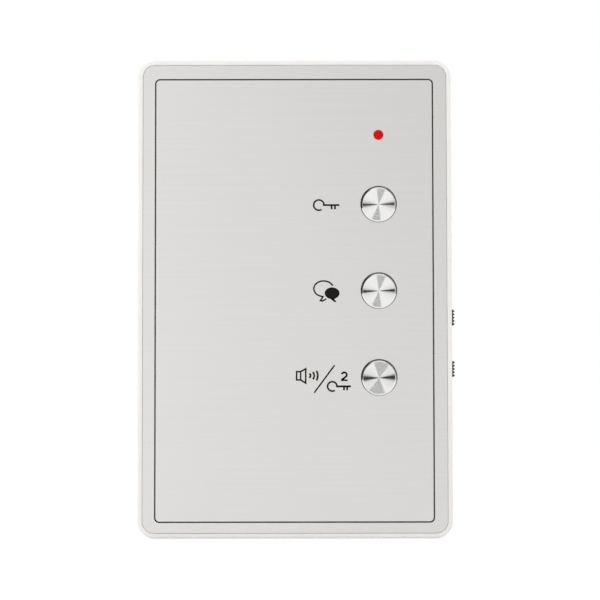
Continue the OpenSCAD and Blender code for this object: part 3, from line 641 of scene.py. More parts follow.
SLOT_FINISHES: dict[str, Finish] = {
    "housing_plastic": MouldedPlastic("white_housing_plastic", srgb(241, 237, 234), 0.5, glow=0.5),
    "plate_metal": BrushedMetal("brushed_face_plate", srgb(248, 246, 244)),
    "cap_metal": TurnedMetal("turned_cap_metal", CAP_COLOUR),
    "print_ink": PrintedInk("border_line_ink", srgb(46, 36, 32)),
    "adhesive_foam": FibreSheet("adhesive_sheet_foam", srgb(74, 74, 74), 0.4, 0.02),
    "natural_plastic": MouldedPlastic("natural_moulding", srgb(234, 232, 220), 0.4, 0.6, glow=0.5),
    "spring_steel": SPRING_STEEL,
    "switch_plastic": MouldedPlastic("switch_body_plastic", srgb(40, 40, 42), 0.42, 0.3),
    "actuator_plastic": MouldedPlastic("switch_plunger_plastic", srgb(228, 226, 220), 0.35, 0.4),
    "slider_plastic": MouldedPlastic("slider_knob_plastic", srgb(50, 36, 35), 0.42, 0.25),
    "can_steel": RolledMetal("slide_switch_can", srgb(200, 200, 196), 0.3),
    "lamp_lens": DiffusingResin("red_lamp_resin", srgb(217, 9, 11)),
    "lead_metal": RolledMetal("tinned_lead", srgb(205, 205, 200), 0.25, 0.12),
    "board_laminate": Laminate("green_board_laminate", srgb(34, 104, 62)),
    "screw_steel": RolledMetal("zinc_screw", srgb(198, 200, 204), 0.3, 0.15),
    "chip_epoxy": MouldedPlastic("chip_epoxy", srgb(36, 36, 38), 0.55, 0.12, 0.004),
    "capacitor_sleeve": MouldedPlastic("capacitor_sleeve", srgb(30, 40, 72), 0.3, 0.8, 0.003),
    "terminal_plastic": MouldedPlastic("terminal_plastic", srgb(44, 116, 72), 0.38, 0.4),
    "basket_steel": RolledMetal("speaker_basket_steel", srgb(150, 152, 150), 0.36),
    "magnet_iron": FibreSheet("ferrite_magnet", srgb(58, 58, 60), 0.25, 0.01),
    "cone_paper": FibreSheet("speaker_cone_paper", srgb(52, 50, 48), 0.6, 0.03),
    "gasket_foam": FibreSheet("gasket_foam", srgb(48, 48, 50), 0.5, 0.08),
    "wire_sheath": MouldedPlastic("wire_sheath", srgb(170, 40, 36), 0.4, 0.8, 0.002),
    "capsule_metal": RolledMetal("microphone_capsule", srgb(208, 206, 200), 0.26),
    "boot_rubber": MouldedPlastic("boot_rubber", srgb(38, 38, 38), 0.75, 0.5, 0.01),
    "base_plastic": MouldedPlastic(
        "wall_base_plastic", srgb(236, 233, 229), 0.5, 0.45, 0.012, glow=0.5
    ),
}


def shifted(points: Iterable[Point], by: Point) -> list[Point]:
    """Moves all points the same way."""
    return [(x + by[0], y + by[1]) for x, y in points]


def turn(
    mesh: bmesh.types.BMesh, middle: Vector, profile: Sequence[Point], segments: int
) -> None:
    """Turns half a section about an axis along y into a closed shape.

    Args:
        mesh: The mesh to add to, in metres.
        middle: Where the section's depth is counted from, on the axis.
        profile: Points of distance from the axis and depth along it, in millimetres.
        segments: How many steps the full turn has.
    """
    verts = [mesh.verts.new(middle + Vector((arm, depth, 0)) * MM) for arm, depth in profile]
    edges = [mesh.edges.new(pair) for pair in zip(verts, verts[1:])]
    bmesh.ops.spin(
        mesh,
        geom=[*verts, *edges],
        cent=middle,
        axis=Vector((0, 1, 0)),
        angle=math.tau,
        steps=segments,
        use_merge=True,
    )
    bmesh.ops.remove_doubles(mesh, verts=mesh.verts, dist=WELD_MM * MM)


def mesh_piece(
    name: str,
    mesh: bmesh.types.BMesh,
    finish: Finish,
    body: Body = Body.STATION,
    smooth: bool = False,
) -> bpy.types.Object:
    """Makes a finished piece of a mesh that is already in its place.

    Args:
        name: The piece's name.
        mesh: The mesh in metres, which is freed.
        finish: What the piece is dressed in.
        body: The CAD body that the piece rides on.
        smooth: Whether its faces are shaded smoothly.

    Returns:
        The new object.
    """
    bmesh.ops.recalc_face_normals(mesh, faces=mesh.faces)
    for face in mesh.faces:
        face.smooth = smooth
    data = bpy.data.meshes.new(name)
    mesh.to_mesh(data)
    mesh.free()
    piece = bpy.data.objects.new(name, data)
    bpy.context.scene.collection.objects.link(piece)
    data.materials.append(finish.material())
    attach(piece, body.value)
    LOG.info("%s: %d faces on %s", name, len(data.polygons), body.value)
    return piece


@dataclass
class InkPen:
    """Draws flat shapes in the plane of the face plate, in millimetres: x to the right, y up."""

    sharpest_mitre: float = 0.45
    arc_step_deg: float = 6.0
    fewest_arc_steps: int = 8
    oval_segments: int = 64
    oval_line_segments: int = 90
    mesh: bmesh.types.BMesh = field(default_factory=bmesh.new)

    def bar(self, start: Point, end: Point, width: float) -> None:
        """Draws a straight stroke.

        Args:
            start: Middle of one end.
            end: Middle of the other end.
            width: Width of the stroke.
        """
        first, last = Vector((*start, 0)), Vector((*end, 0))
        run = last - first
        slope = Matrix.Rotation(math.atan2(run.y, run.x), 4, "Z")
        size = Matrix.Diagonal((run.length, width, 1, 1))
        place = Matrix.Translation((first + last) / 2) @ slope @ size
        bmesh.ops.create_grid(self.mesh, x_segments=1, y_segments=1, size=0.5, matrix=place)

    def arc(self, centre: Point, radius: float, start: float, end: float, width: float) -> None:
        """Draws a stroke along part of a circle.

        Args:
            centre: Middle of the circle.
            radius: Radius of the stroke's middle line.
            start: Angle where it starts, in degrees from the right.
            end: Angle where it ends.
            width: Width of the stroke.
        """
        arm = Matrix.Rotation(math.radians(start), 3, "Z") @ Vector((1, 0, 0))
        middle = Vector((*centre, 0))
        reaches = (radius - width / 2, radius + width / 2)
        ends = [self.mesh.verts.new(middle + arm * reach) for reach in reaches]
        edge = self.mesh.edges.new(ends)
        bmesh.ops.spin(
            self.mesh,
            geom=[*ends, edge],
            cent=middle,
            axis=Vector((0, 0, 1)),
            angle=math.radians(end - start),
            steps=max(self.fewest_arc_steps, round(abs(end - start) / self.arc_step_deg)),
        )

    def oval(self, centre: Point, half: Pair) -> None:
        """Draws a filled oval.

        Args:
            centre: Middle of the oval.
            half: Half its width and half its height.
        """
        place = Matrix.Translation((*centre, 0)) @ Matrix.Diagonal((*half, 1, 1))
        bmesh.ops.create_circle(
            self.mesh, cap_ends=True, segments=self.oval_segments, radius=1.0, matrix=place
        )

    def oval_line(self, centre: Point, half: Pair, start: float, end: float, width: float) -> None:
        """Draws a stroke of even width along part of an oval.

        Args:
            centre: Middle of the oval.
            half: Half the width and half the height of the stroke's middle line.
            start: Angle on the oval where it starts, in degrees from the right.
            end: Angle where it ends.
            width: Width of the stroke.
        """
        loops = []
        for side in (-0.5, 0.5):
            size = Matrix.Diagonal((half[0] + side * width, half[1] + side * width, 1, 1))
            place = Matrix.Translation((*centre, 0)) @ size
            ring = bmesh.ops.create_circle(
                self.mesh, segments=self.oval_line_segments, radius=1.0, matrix=place
            )["verts"]
            loops += {edge for vert in ring for edge in vert.link_edges}
        faces = bmesh.ops.bridge_loops(self.mesh, edges=loops)["faces"]
        unseen = []
        for face in faces:
            out = face.calc_center_median() - Vector((*centre, 0))
            angle = math.degrees(math.atan2(out.y / half[1], out.x / half[0])) % 360
            if not start <= angle <= end:
                unseen.append(face)
        bmesh.ops.delete(self.mesh, geom=unseen, context="FACES")

    def path(self, corners: Sequence[Point], width: float) -> None:
        """Draws a run of straight strokes, mitred where they meet.

        Args:
            corners: The corners in order, with the first one again at the end of a closed run.
            width: Width of the strokes.
        """
        closed = corners[0] == corners[-1]
        points = [Vector((*corner, 0)) for corner in corners]
        legs = [(end - start).normalized() for start, end in zip(points, points[1:])]
        before = [legs[-1] if closed else legs[0], *legs]
        after = [*legs, legs[0] if closed else legs[-1]]
        rails = []
        for point, come, leave in zip(points, before, after):
            along = (come + leave).normalized()
            reach = width / 2 / max(self.sharpest_mitre, along.dot(leave))
            side = Vector((-along.y, along.x, 0)) * reach
            rails.append([self.mesh.verts.new(point + side), self.mesh.verts.new(point - side)])
        for near, far in zip(rails, rails[1:]):
            bmesh.ops.contextual_create(self.mesh, geom=near + far)
        if closed:
            bmesh.ops.remove_doubles(self.mesh, verts=rails[0] + rails[-1], dist=WELD_MM)

    def patch(self, corners: Iterable[Point]) -> None:
        """Draws a filled outline with straight sides, its corners in order."""
        verts = [self.mesh.verts.new((*corner, 0)) for corner in corners]
        bmesh.ops.contextual_create(self.mesh, geom=verts)

    def lift(self, level: float, thickness: float) -> bmesh.types.BMesh:
        """Gives the sheet its thickness and lays it on the plate.

        Args:
            level: Height of its underside above the wall, in millimetres.
            thickness: Thickness of the film, in millimetres.

        Returns:
            The mesh in metres, in the CAD frame.
        """
        bmesh.ops.recalc_face_normals(self.mesh, faces=self.mesh.faces)
        raised = bmesh.ops.extrude_face_region(
            self.mesh, geom=self.mesh.faces[:], use_keep_orig=True
        )["geom"]
        verts = [part for part in raised if isinstance(part, bmesh.types.BMVert)]
        bmesh.ops.translate(self.mesh, verts=verts, vec=Vector((0, 0, thickness)))
        upright = Matrix.Rotation(math.pi / 2, 4, "X")
        onto_wall = Matrix.Scale(MM, 4) @ upright @ Matrix.Translation((0, 0, level))
        bmesh.ops.transform(self.mesh, matrix=onto_wall, verts=self.mesh.verts)
        return self.mesh


@dataclass(frozen=True)
class KeyShape:
    """A key lying on its side: a ring with a gap, a shaft and two teeth."""

    bow: Point
    bow_radius: float
    stroke: float
    shaft_from: float
    shaft_to: float
    teeth: Pair
    tooth_drop: float
    bow_start: float = 4.0
    bow_end: float = 303.0
    shaft_times: float = 1.1

    def draw(self, pen: InkPen) -> None:
        """Draws the key.

        Args:
            pen: The pen to draw it with.
        """
        x, y = self.bow
        shaft = self.stroke * self.shaft_times
        pen.arc(self.bow, self.bow_radius, self.bow_start, self.bow_end, self.stroke)
        pen.bar((x + self.shaft_from, y), (x + self.shaft_to, y), shaft)
        for tooth in self.teeth:
            pen.bar((x + tooth, y), (x + tooth, y - self.tooth_drop), shaft)


@dataclass
class FacePrint:
    """The signs beside the buttons, each drawn in millimetres from the middle of its button."""

    film_mm: float = 0.02
    stroke: float = 0.52
    thin_stroke: float = 0.48
    bold_stroke: float = 0.6
    unlock_key: KeyShape = KeyShape(
        bow=(-18.98, -0.31),
        bow_radius=1.64,
        stroke=0.52,
        shaft_from=1.3,
        shaft_to=6.5,
        teeth=(4.04, 5.13),
        tooth_drop=1.34,
    )
    second_key: KeyShape = KeyShape(
        bow=(-14.85, -2.85),
        bow_radius=1.48,
        stroke=0.54,
        shaft_from=1.2,
        shaft_to=5.9,
        teeth=(3.72, 4.72),
        tooth_drop=1.2,
    )
    bubble: Point = (-17.53, 0.58)
    bubble_half: Pair = (3.1, 2.47)
    bubble_arc: Pair = (23.0, 270.0)
    bubble_tail: tuple[Point, ...] = ((-0.1, -2.47), (-1.03, -3.75), (-0.4, -3.92), (0.8, -3.2))
    answer: Point = (-14.84, -0.86)
    answer_half: Pair = (2.35, 1.85)
    answer_tail: tuple[Point, ...] = (
        (-0.75, -1.55), (0.55, -2.7), (1.12, -2.82), (1.3, -2.52), (0.75, -1.95), (0.75, -1.5),
    )
    horn_across: tuple[float, float, float] = (-26.12, -24.84, -23.24)
    horn_levels: tuple[float, float, float, float] = (2.72, 1.82, -0.79, -1.8)
    wave_source: Point = (-22.36, 0.56)
    waves: tuple[Pair, ...] = ((0.66, 70.0), (1.79, 40.0), (2.93, 31.0))
    slash: tuple[Point, Point] = ((-20.56, -4.85), (-14.08, 3.87))
    numeral: Point = (-11.05, 0.79)
    numeral_radius: float = 0.78
    numeral_arc: Pair = (-38.0, 165.0)
    numeral_neck: tuple[Point, Point] = ((0.61, -0.46), (-0.77, -1.6))
    numeral_foot: tuple[Point, Point] = ((-1.04, -1.7), (1.04, -1.7))

    def build(self) -> None:
        """Builds the three signs."""
        self.lay("unlock_sign", Button.UNLOCK, self.unlock_sign())
        self.lay("talk_sign", Button.TALK, self.talk_sign())
        self.lay("auxiliary_sign", Button.AUXILIARY, self.auxiliary_sign())

    def lay(self, name: str, button: Button, pen: InkPen) -> None:
        """Lays a drawn sign on the plate beside its button.

        Args:
            name: The sign's name.
            button: The button that it stands beside.
            pen: The pen that drew it.
        """
        low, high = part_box(button.value + "_switch")
        middle = (low + high) / (2 * MM)
        bmesh.ops.translate(pen.mesh, verts=pen.mesh.verts, vec=Vector((middle.x, middle.z, 0)))
        plate_level = -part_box("face_plate")[0].y / MM
        mesh_piece(name, pen.lift(plate_level, self.film_mm), BLACK_INK)

    def unlock_sign(self) -> InkPen:
        """Draws the key beside the top button.

        Returns:
            The pen that drew it.
        """
        pen = InkPen()
        self.unlock_key.draw(pen)
        return pen

    def talk_sign(self) -> InkPen:
        """Draws the two speech bubbles beside the middle button.

        Returns:
            The pen that drew them.
        """
        pen = InkPen()
        pen.oval_line(self.bubble, self.bubble_half, *self.bubble_arc, self.thin_stroke)
        pen.path(shifted(self.bubble_tail, self.bubble), self.thin_stroke)
        pen.oval(self.answer, self.answer_half)
        pen.patch(shifted(self.answer_tail, self.answer))
        return pen

    def auxiliary_sign(self) -> InkPen:
        """Draws the loudspeaker, the slash, the numeral and the key beside the bottom button.

        Returns:
            The pen that drew them.
        """
        pen = InkPen()
        left, waist, right = self.horn_across
        horn_top, box_top, box_foot, horn_foot = self.horn_levels
        outline = [
            (left, box_top), (waist, box_top), (right, horn_top),
            (right, horn_foot), (waist, box_foot), (left, box_foot),
        ]
        pen.path(outline + outline[:1], self.stroke)
        pen.bar((waist, box_top), (waist, box_foot), self.thin_stroke)
        for radius, spread in self.waves:
            pen.arc(self.wave_source, radius, -spread, spread, self.bold_stroke)
        pen.bar(*self.slash, self.thin_stroke)
        pen.arc(self.numeral, self.numeral_radius, *self.numeral_arc, self.bold_stroke)
        pen.bar(*shifted(self.numeral_neck, self.numeral), self.bold_stroke)
        pen.bar(*shifted(self.numeral_foot, self.numeral), self.stroke)
        self.second_key.draw(pen)
        return pen


@dataclass
class TurnedCap:
    """One metal button cap, faced in fine V-shaped rings and a little askew in its guide."""

    button: Button
    ring_slope: float
    lean_deg: float
    ring_mm: float = 0.07
    bevel_mm: float = 0.36
    bevel_depth_mm: float = 0.28
    thickness_mm: float = 1.6
    spigot_radius_mm: float = 1.95
    segments: int = 128
    sharp_deg: float = 20.0

    def build(self) -> None:
        """Turns the cap in the place of its CAD node."""
        node = self.button.value + "_cap"
        low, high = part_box(node)
        middle = Vector(((low.x + high.x) / 2, low.y, (low.z + high.z) / 2))
        mesh = bmesh.new()
        profile = self.profile((high.x - low.x) / (2 * MM), (high.y - low.y) / MM)
        turn(mesh, middle, profile, self.segments)
        lean = Matrix.Rotation(math.radians(self.lean_deg), 3, "X")
        bmesh.ops.rotate(mesh, verts=mesh.verts, cent=middle, matrix=lean)
        finish = TurnedMetal("turned_" + node, CAP_COLOUR, middle)
        name = self.button.value + "_turned_cap"
        piece = mesh_piece(name, mesh, finish, self.body, smooth=True)
        piece.data.set_sharp_from_angle(angle=math.radians(self.sharp_deg))
        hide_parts(node)

    @property
    def body(self) -> Body:
        """The moving body of this cap's button."""
        return Body(self.button.value + "_button")

    def profile(self, radius: float, length: float) -> list[Point]:
        """Works out half the section of the cap, from the middle of its face to its spigot's end.

        Args:
            radius: Radius of the cap, in millimetres.
            length: Length from the face to the end of the spigot.

        Returns:
            Points of distance from the axis and depth behind the face.
        """
        face = radius - self.bevel_mm
        rings = 2 * round(face / self.ring_mm / 2)
        step = face / rings
        points = [(k * step, (k + 1) % 2 * step * self.ring_slope) for k in range(rings)]
        points += [(face, 0.0), (radius, self.bevel_depth_mm)]
        points += [(radius, self.thickness_mm), (self.spigot_radius_mm, self.thickness_mm)]
        return points + [(self.spigot_radius_mm, length), (0.0, length)]


@dataclass
class ReturnSpring:
    """The wound spring under one button."""

    button: Button
    turns: float = 4.0
    wire_mm: float = 0.5
    steps_per_turn: int = 40
    wire_sides: int = 12

    def build(self) -> None:
        """Winds the spring between the ends of its CAD node."""
        node = self.button.value + "_spring"
        low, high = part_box(node)
        wire = self.wire_mm * MM / 2
        mean_radius = (high.x - low.x) / 2 - wire
        middle = (low + high) / 2
        steps = round(self.turns * self.steps_per_turn)
        rise = (high.y - low.y - 2 * wire) / steps
        mesh = bmesh.new()
        start = Matrix.Translation((middle.x + mean_radius, low.y + wire, middle.z))
        bmesh.ops.create_circle(
            mesh, cap_ends=True, segments=self.wire_sides, radius=wire, matrix=start
        )
        bmesh.ops.spin(
            mesh,
            geom=[*mesh.verts, *mesh.edges, *mesh.faces],
            cent=middle,
            axis=Vector((0, 1, 0)),
            dvec=Vector((0, rise, 0)),
            angle=self.turns * math.tau,
            steps=steps,
        )
        name = self.button.value + "_coil"
        piece = mesh_piece(name, mesh, SPRING_STEEL, smooth=True)
        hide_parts(node)
        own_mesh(piece)


@dataclass
class BoardWiring:
    """The tracks, pads, solder joints and chip parts on the back of the board.

    Sizes are millimetres, and places are as seen from the room.
    """

    copper_mm: float = 0.05
    tinned_mm: float = 0.08
    track: float = 0.7
    wide_track: float = 1.6
    pad_radius: float = 0.95
    via_radius: float = 0.5
    vias: tuple[Point, ...] = (
        (3.4, -44.0), (6.4, -52.0), (18.0, -50.0), (12.9, -7.0), (19.4, -11.0), (25.2, -11.0),
        (16.9, -16.0), (9.4, 18.0), (17.2, 18.0),
    )
    runs: tuple[tuple[Point, ...], ...] = (
        ((11.2, 0.0), (11.2, 24.0), (11.0, 26.0), (11.0, 46.0)),
        ((14.7, 0.0), (14.7, 30.0), (13.0, 34.0), (13.0, 46.0)),
        ((5.9, 0.0), (5.9, -9.0), (3.4, -11.5), (3.4, -44.0)),
        ((9.4, 0.0), (9.4, -12.0), (6.4, -15.0), (6.4, -52.0)),
        ((12.9, 0.0), (12.9, -24.0), (18.0, -29.0), (18.0, -50.0)),
        ((12.9, -7.0), (16.9, -11.0), (19.4, -11.0)),
    )
    first_speaker_run: tuple[Point, ...] = ((4.2, 0.0), (4.2, 10.8))
    second_speaker_run: tuple[Point, ...] = ((7.7, 0.0), (7.7, 11.5))
    second_speaker_bend: float = 4.2
    slide_run_start: Point = (25.2, -11.0)
    slide_run_bend: float = 6.0
    supply_run: tuple[Point, ...] = ((21.2, 54.0), (21.2, 4.0), (22.8, 2.0), (22.8, -54.0))
    pin_offset: float = 1.0
    slide_pin_pitch: float = 2.5
    joint_profile: tuple[Point, ...] = (
        (0.0, 0.0), (0.85, 0.0), (0.52, 0.16), (0.4, 0.42), (0.34, 0.8), (0.0, 0.92)
    )
    joint_segments: int = 20
    chip_size: tuple[float, float, float] = (2.0, 1.25, 0.5)
    chip_end: float = 0.35
    chip_bevel: float = 0.06
    chip_bevel_segments: int = 2
    chip_places: tuple[Point, ...] = (
        (0.6, -8.0), (0.6, -11.5), (19.4, 9.5), (19.4, 13.0), (19.4, -8.0),
    )

    def build(self) -> None:
        """Builds the tracks, the pads, the solder joints and the chip parts."""
        self.tracks()
        self.pads()
        self.joints()
        self.chips()

    @property
    def back(self) -> float:
        """The level of the board's back, in metres along y."""
        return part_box("circuit_board")[1].y

    def middle(self, node: str) -> Point:
        """Gives the middle of a CAD node as seen from the room."""
        low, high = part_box(node)
        return ((low.x + high.x) / (2 * MM), (low.z + high.z) / (2 * MM))

    def pins(self) -> list[Point]:
        """Lists where pins come through the board.

        Returns:
            The middles of the pins.
        """
        pins = []
        for node in ("speaker_plug", "microphone_plug"):
            x, y = self.middle(node)
            pins += [(x, y - self.pin_offset), (x, y + self.pin_offset)]
        for node in ("call_volume_base", "talk_volume_base"):
            x, y = self.middle(node)
            pins += [(x, y + k * self.slide_pin_pitch) for k in (-1, 0, 1)]
        low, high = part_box("lamp_leads")
        lead = (high.z - low.z) / 2
        pins += [(x / MM, (low.z + lead) / MM) for x in (low.x + lead, high.x - lead)]
        low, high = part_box("capacitors")
        radius = (high.x - low.x) / 2
        x = (low.x + radius) / MM
        for z in (low.z + radius, high.z - radius):
            pins += [(x - self.pin_offset, z / MM), (x + self.pin_offset, z / MM)]
        return pins

    def tracks(self) -> None:
        """Lays the tracks that run between the terminals and the pins."""
        speaker_x, speaker_y = self.middle("speaker_plug")
        low_pin, high_pin = speaker_y - self.pin_offset, speaker_y + self.pin_offset
        slide_x, slide_y = self.middle("call_volume_base")
        bend = (slide_x - self.slide_run_bend, self.slide_run_start[1])
        runs = [
            (*self.first_speaker_run, (speaker_x, low_pin)),
            (*self.second_speaker_run, (self.second_speaker_bend, high_pin), (speaker_x, high_pin)),
            *self.runs,
            (self.slide_run_start, bend, (slide_x, slide_y - self.slide_pin_pitch)),
        ]
        pen = InkPen()
        for run in runs:
            pen.path(run, self.track)
        pen.path(self.supply_run, self.wide_track)
        level = -self.back / MM - self.copper_mm
        mesh = pen.lift(level, self.copper_mm)
        mesh_piece("board_tracks", mesh, BOARD_TRACK)

    def pads(self) -> None:
        """Tins the pads round the pins and where a track goes through the board."""
        pen = InkPen()
        for via in self.vias:
            pen.oval(via, (self.via_radius, self.via_radius))
        for pin in self.pins():
            pen.oval(pin, (self.pad_radius, self.pad_radius))
        level = -self.back / MM - self.tinned_mm
        mesh_piece("board_pads", pen.lift(level, self.tinned_mm), SOLDER)

    def joints(self) -> None:
        """Turns a fillet of solder round each pin."""
        mesh = bmesh.new()
        for x, z in self.pins():
            middle = Vector((x * MM, self.back, z * MM))
            turn(mesh, middle, self.joint_profile, self.joint_segments)
        mesh_piece("solder_joints", mesh, SOLDER, smooth=True)

    def chips(self) -> None:
        """Sets the chip parts on the board, each a dark body between two tinned ends."""
        length, width, height = self.chip_size
        middle = length - 2 * self.chip_end
        reach = (middle + self.chip_end) / 2
        core, end = (middle, width, height), (self.chip_end, width, height)
        epoxy = SLOT_FINISHES[Slot.CHIP.value]
        self.blocks("chip_bodies", epoxy, (0.0,), core)
        self.blocks("chip_ends", SOLDER, (-reach, reach), end)

    def blocks(
        self,
        name: str,
        finish: Finish,
        offsets: tuple[float, ...],
        size: tuple[float, float, float],
    ) -> None:
        """Makes one piece of the like blocks of all chip parts.

        Args:
            name: The piece's name.
            finish: What the piece is dressed in.
            offsets: How far right of each chip's middle its blocks sit.
            size: Length, width and height of a block.
        """
        length, width, height = size
        mesh = bmesh.new()
        for x, z in self.chip_places:
            for offset in offsets:
                middle = Vector((x + offset, self.back / MM + height / 2, z))
                shape = Matrix.Translation(middle) @ Matrix.Diagonal((length, height, width, 1))
                bmesh.ops.create_cube(mesh, size=1.0, matrix=Matrix.Scale(MM, 4) @ shape)
        bmesh.ops.bevel(
            mesh,
            geom=mesh.edges[:],
            offset=self.chip_bevel * MM,
            segments=self.chip_bevel_segments,
            profile=0.5,
            affect="EDGES",
            material=-1,
        )
        mesh_piece(name, mesh, finish)


@dataclass
class Solids:
    """The CAD solids, each dressed in the finish of its material slot."""

    finishes: dict[str, Finish] = field(default_factory=lambda: dict(SLOT_FINISHES))

    def dress(self) -> None:
        """Dresses every CAD node."""
        for part in frame["record"]["subparts"]:
            node, slot = part["node"], part["material_slot"]
            finish = self.finishes[slot]
            for holder in frame["nodes"][node].material_slots:
                holder.material = finish.material()
            LOG.info("%s: dressed in %s", node, finish.name)


@dataclass(frozen=True)
class SoftLamp:
    """A large round lamp that is aimed at the part and doesn't show in its metal."""

    name: str
    place: tuple[float, float, float]
    power: float
    size: float = 1.0

    def hang(self, aim: Vector) -> None:
        """Hangs the lamp in its place.

        Args:
            aim: What it is turned to.
        """
        data = bpy.data.lights.new(self.name, "AREA")
        data.shape = "DISK"
        data.size = self.size
        data.energy = self.power
        lamp = bpy.data.objects.new(self.name, data)
        lamp.visible_glossy = False
        lamp.location = self.place
        lamp.rotation_euler = (aim - Vector(self.place)).to_track_quat("-Z", "Y").to_euler()
        bpy.context.scene.collection.objects.link(lamp)


@dataclass
class Surroundings:
    """The even dome of light, in which metal mirrors softboxes, a grey column, a gap and flanks.

    A direction is given by how far it runs across and up for each unit that it runs ahead of the
    plate, and an edge by where it starts and where it is done.
    """

    facing: Pair = (0.049, 0.051)
    least_ahead: float = 0.02
    dome_level: float = 0.94
    beside_level: float = 0.95
    beside_edge: Pair = (0.1, 0.4)
    gap_lean: float = 0.035
    gap_edge: Pair = (0.086, 0.11)
    gap_level: float = 0.03
    box_fade: float = 0.8
    box_levels: Pair = (0.62, 1.0)
    box_edge: Pair = (0.3, 0.4)
    outer_level: float = 1.0
    column_lean: float = 0.18
    column_edge: Pair = (0.29, 0.33)
    column_level: float = 1.13
    column_fall: float = 0.85
    column_top: float = 0.1
    column_fade: Pair = (0.05, 0.55)
    flank_start: Pair = (0.06, 0.12)
    flank_end: Pair = (0.38, 0.48)
    flank_level: float = 0.24
    flank_rise: float = 0.2
    flank_top: float = 0.8
    flank_top_edge: Pair = (0.82, 0.95)

    def build(self) -> None:
        """Makes the world, which is white wherever it is seen directly."""
        world = bpy.data.worlds.new("studio")
        world.use_nodes = True
        bpy.context.scene.world = world
        graph = Graph(world.node_tree)
        split = graph.add("SeparateXYZ")
        graph.feed(split.inputs["Vector"], graph.add("TexCoord").outputs["Generated"])
        ahead = graph.math("MULTIPLY", split.outputs["Y"], -1.0)
        depth = graph.math("MAXIMUM", ahead, self.least_ahead)
        across, up = (
            graph.math("SUBTRACT", graph.math("DIVIDE", split.outputs[axis], depth), centre)
            for axis, centre in zip("XZ", self.facing)
        )
        boxes = self.softboxes(graph, across, up)
        grey = self.column_grey(graph, across, up)
        front = graph.blend(self.column(graph, across, up), boxes, grey)
        level = graph.blend(graph.ease(ahead, *self.beside_edge), self.beside_level, front)
        starts = graph.ease(ahead, *self.flank_start)
        flank = graph.math("SUBTRACT", starts, graph.ease(ahead, *self.flank_end))
        level = graph.blend(flank, level, self.flank_light(graph, split))
        path = graph.add("LightPath")
        level = graph.blend(path.outputs["Is Glossy Ray"], self.dome_level, level)
        seen, through = path.outputs["Is Camera Ray"], path.outputs["Is Transmission Ray"]
        shown = graph.math("MAXIMUM", seen, through)
        back = graph.add("Background")
        back.inputs["Color"].default_value = (1, 1, 1, 1)
        graph.feed(back.inputs["Strength"], graph.math("MAXIMUM", level, shown))
        graph.feed(graph.add("OutputWorld").inputs["Surface"], back.outputs["Background"])

    def column(
        self, graph: Graph, across: bpy.types.NodeSocket, up: bpy.types.NodeSocket
    ) -> bpy.types.NodeSocket:
        """Outlines the leaning grey column in front of the plate.

        Args:
            graph: The tree to add to.
            across: How far the direction runs across.
            up: How far it runs up.

        Returns:
            A socket that gives 1 inside the column and 0 outside.
        """
        lean = graph.math("MULTIPLY_ADD", up, -self.column_lean, across)
        outside = graph.ease(graph.math("ABSOLUTE", lean), *self.column_edge)
        return graph.math("SUBTRACT", 1.0, outside)

    def softboxes(
        self, graph: Graph, across: bpy.types.NodeSocket, up: bpy.types.NodeSocket
    ) -> bpy.types.NodeSocket:
        """Lights the upper and lower softboxes, which fade towards the dark gap between them.

        Args:
            graph: The tree to add to.
            across: How far the direction runs across.
            up: How far it runs up.

        Returns:
            The socket of their light.
        """
        lean = graph.math("ABSOLUTE", graph.math("MULTIPLY_ADD", across, -self.gap_lean, up))
        bright = graph.span(graph.ease(lean, 0.0, self.box_fade), *self.box_levels)
        lit = graph.blend(graph.ease(lean, *self.gap_edge), self.gap_level, bright)
        inside = graph.ease(graph.math("ABSOLUTE", across), *self.box_edge)
        return graph.blend(inside, self.outer_level, lit)

    def column_grey(
        self, graph: Graph, across: bpy.types.NodeSocket, up: bpy.types.NodeSocket
    ) -> bpy.types.NodeSocket:
        """Shades the column, which is darker to the right and to the top.

        Args:
            graph: The tree to add to.
            across: How far the direction runs across.
            up: How far it runs up.

        Returns:
            The socket of its grey.
        """
        slope = graph.math("MULTIPLY_ADD", across, -self.column_fall, self.column_level)
        return graph.blend(graph.ease(up, *self.column_fade), slope, self.column_top)

    def flank_light(self, graph: Graph, split: bpy.types.Node) -> bpy.types.NodeSocket:
        """Lights the flanks, which are paler to the right and at the top.

        Args:
            graph: The tree to add to.
            split: The node that gives the direction's three parts.

        Returns:
            The socket of their light.
        """
        side = graph.math("MULTIPLY_ADD", split.outputs["X"], self.flank_rise, self.flank_level)
        top = graph.ease(split.outputs["Z"], *self.flank_top_edge)
        return graph.blend(top, side, self.flank_top)


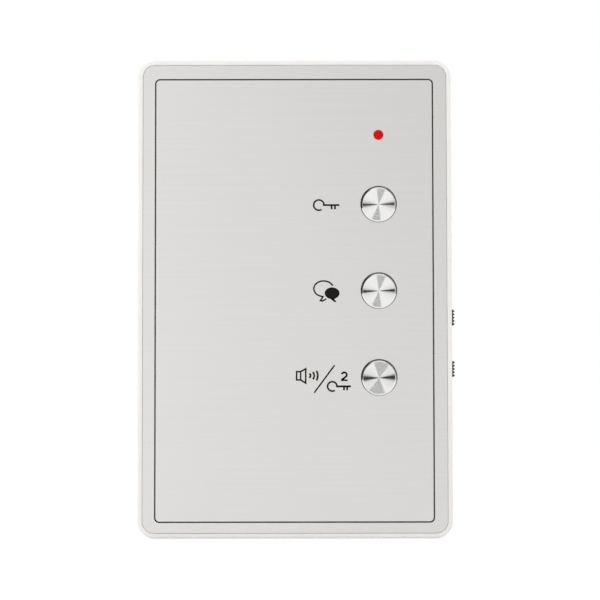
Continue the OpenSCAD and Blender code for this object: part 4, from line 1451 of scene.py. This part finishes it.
@dataclass
class Studio:
    """The camera, the floor and the light."""

    look_at: Vector = Vector((0, -0.0232, 0))
    distance: float = 0.55
    camera_drop_deg: float = 2.66
    camera_roll_deg: float = 0.075
    lens_mm: float = 104.0
    sensor_mm: float = 36.0
    shift: Pair = (0.0084, -0.00345)
    nearest: float = 0.01
    floor_level: float = -0.0761
    floor_size: float = 1.2
    floor_glow: float = 0.8
    floor_grey: Colour = (0.95, 0.95, 0.95, 1.0)
    floor_seen_grey: Colour = (0.28, 0.28, 0.28, 1.0)
    lamps: tuple[SoftLamp, ...] = (
        SoftLamp("left_lamp", (-0.7, -0.9, 0.1), 2.0),
        SoftLamp("right_lamp", (0.8, -0.9, 0.4), 0.1),
    )

    def build(self) -> None:
        """Builds the camera, floor, surroundings and lamps."""
        self.camera()
        self.floor()
        Surroundings().build()
        for lamp in self.lamps:
            lamp.hang(self.look_at)

    def camera(self) -> None:
        """Puts the camera where the photograph was taken from."""
        data = bpy.data.cameras.new("camera")
        data.lens = self.lens_mm
        data.sensor_width = self.sensor_mm
        data.shift_x, data.shift_y = self.shift
        data.clip_start = self.nearest
        camera = bpy.data.objects.new("camera", data)
        drop = math.radians(self.camera_drop_deg)
        camera.location = self.look_at - self.distance * Vector((0, math.cos(drop), math.sin(drop)))
        camera.rotation_euler = (math.pi / 2 + drop, math.radians(self.camera_roll_deg), 0)
        bpy.context.scene.collection.objects.link(camera)
        bpy.context.scene.camera = camera

    def floor(self) -> None:
        """Lays a pale floor that takes a soft shadow and is white where nothing shades it."""
        mesh = bmesh.new()
        place = Matrix.Translation((0, 0, self.floor_level))
        half = self.floor_size / 2
        bmesh.ops.create_grid(mesh, x_segments=1, y_segments=1, size=half, matrix=place)
        data = bpy.data.meshes.new("floor")
        mesh.to_mesh(data)
        mesh.free()
        material = bpy.data.materials.new("pale_floor")
        material.use_nodes = True
        graph = Graph(material.node_tree)
        seen = self.seen_ray(graph)
        glow = graph.add("Emission")
        graph.feed(glow.inputs["Strength"], graph.math("MULTIPLY", seen, self.floor_glow))
        matt = graph.add("BsdfDiffuse")
        graph.feed(matt.inputs["Color"], graph.mix(seen, self.floor_grey, self.floor_seen_grey))
        both = graph.add("AddShader")
        graph.feed(both.inputs[0], glow.outputs["Emission"])
        graph.feed(both.inputs[1], matt.outputs["BSDF"])
        graph.feed(graph.add("OutputMaterial").inputs["Surface"], both.outputs["Shader"])
        data.materials.append(material)
        floor = bpy.data.objects.new("floor", data)
        bpy.context.scene.collection.objects.link(floor)

    def seen_ray(self, graph: Graph) -> bpy.types.NodeSocket:
        """Tells the rays that show the background: seen, mirrored or let through.

        Args:
            graph: The tree to add to.

        Returns:
            A socket that gives 1 for such a ray and 0 for any other.
        """
        path = graph.add("LightPath")
        shown = graph.math("MAXIMUM", path.outputs["Is Camera Ray"], path.outputs["Is Glossy Ray"])
        return graph.math("MAXIMUM", shown, path.outputs["Is Transmission Ray"])


def main() -> None:
    """Builds the studio and dresses the station."""
    logging.basicConfig(level=logging.INFO, format="%(name)s: %(message)s")
    bpy.context.scene.view_settings.view_transform = "Standard"
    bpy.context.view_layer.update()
    Studio().build()
    Solids().dress()
    FacePrint().build()
    TurnedCap(Button.UNLOCK, ring_slope=0.435, lean_deg=1.6).build()
    TurnedCap(Button.TALK, ring_slope=0.42, lean_deg=0.5).build()
    TurnedCap(Button.AUXILIARY, ring_slope=0.28, lean_deg=-1.8).build()
    for button in Button:
        ReturnSpring(button).build()
    BoardWiring().build()


if __name__ == "__main__":
    main()
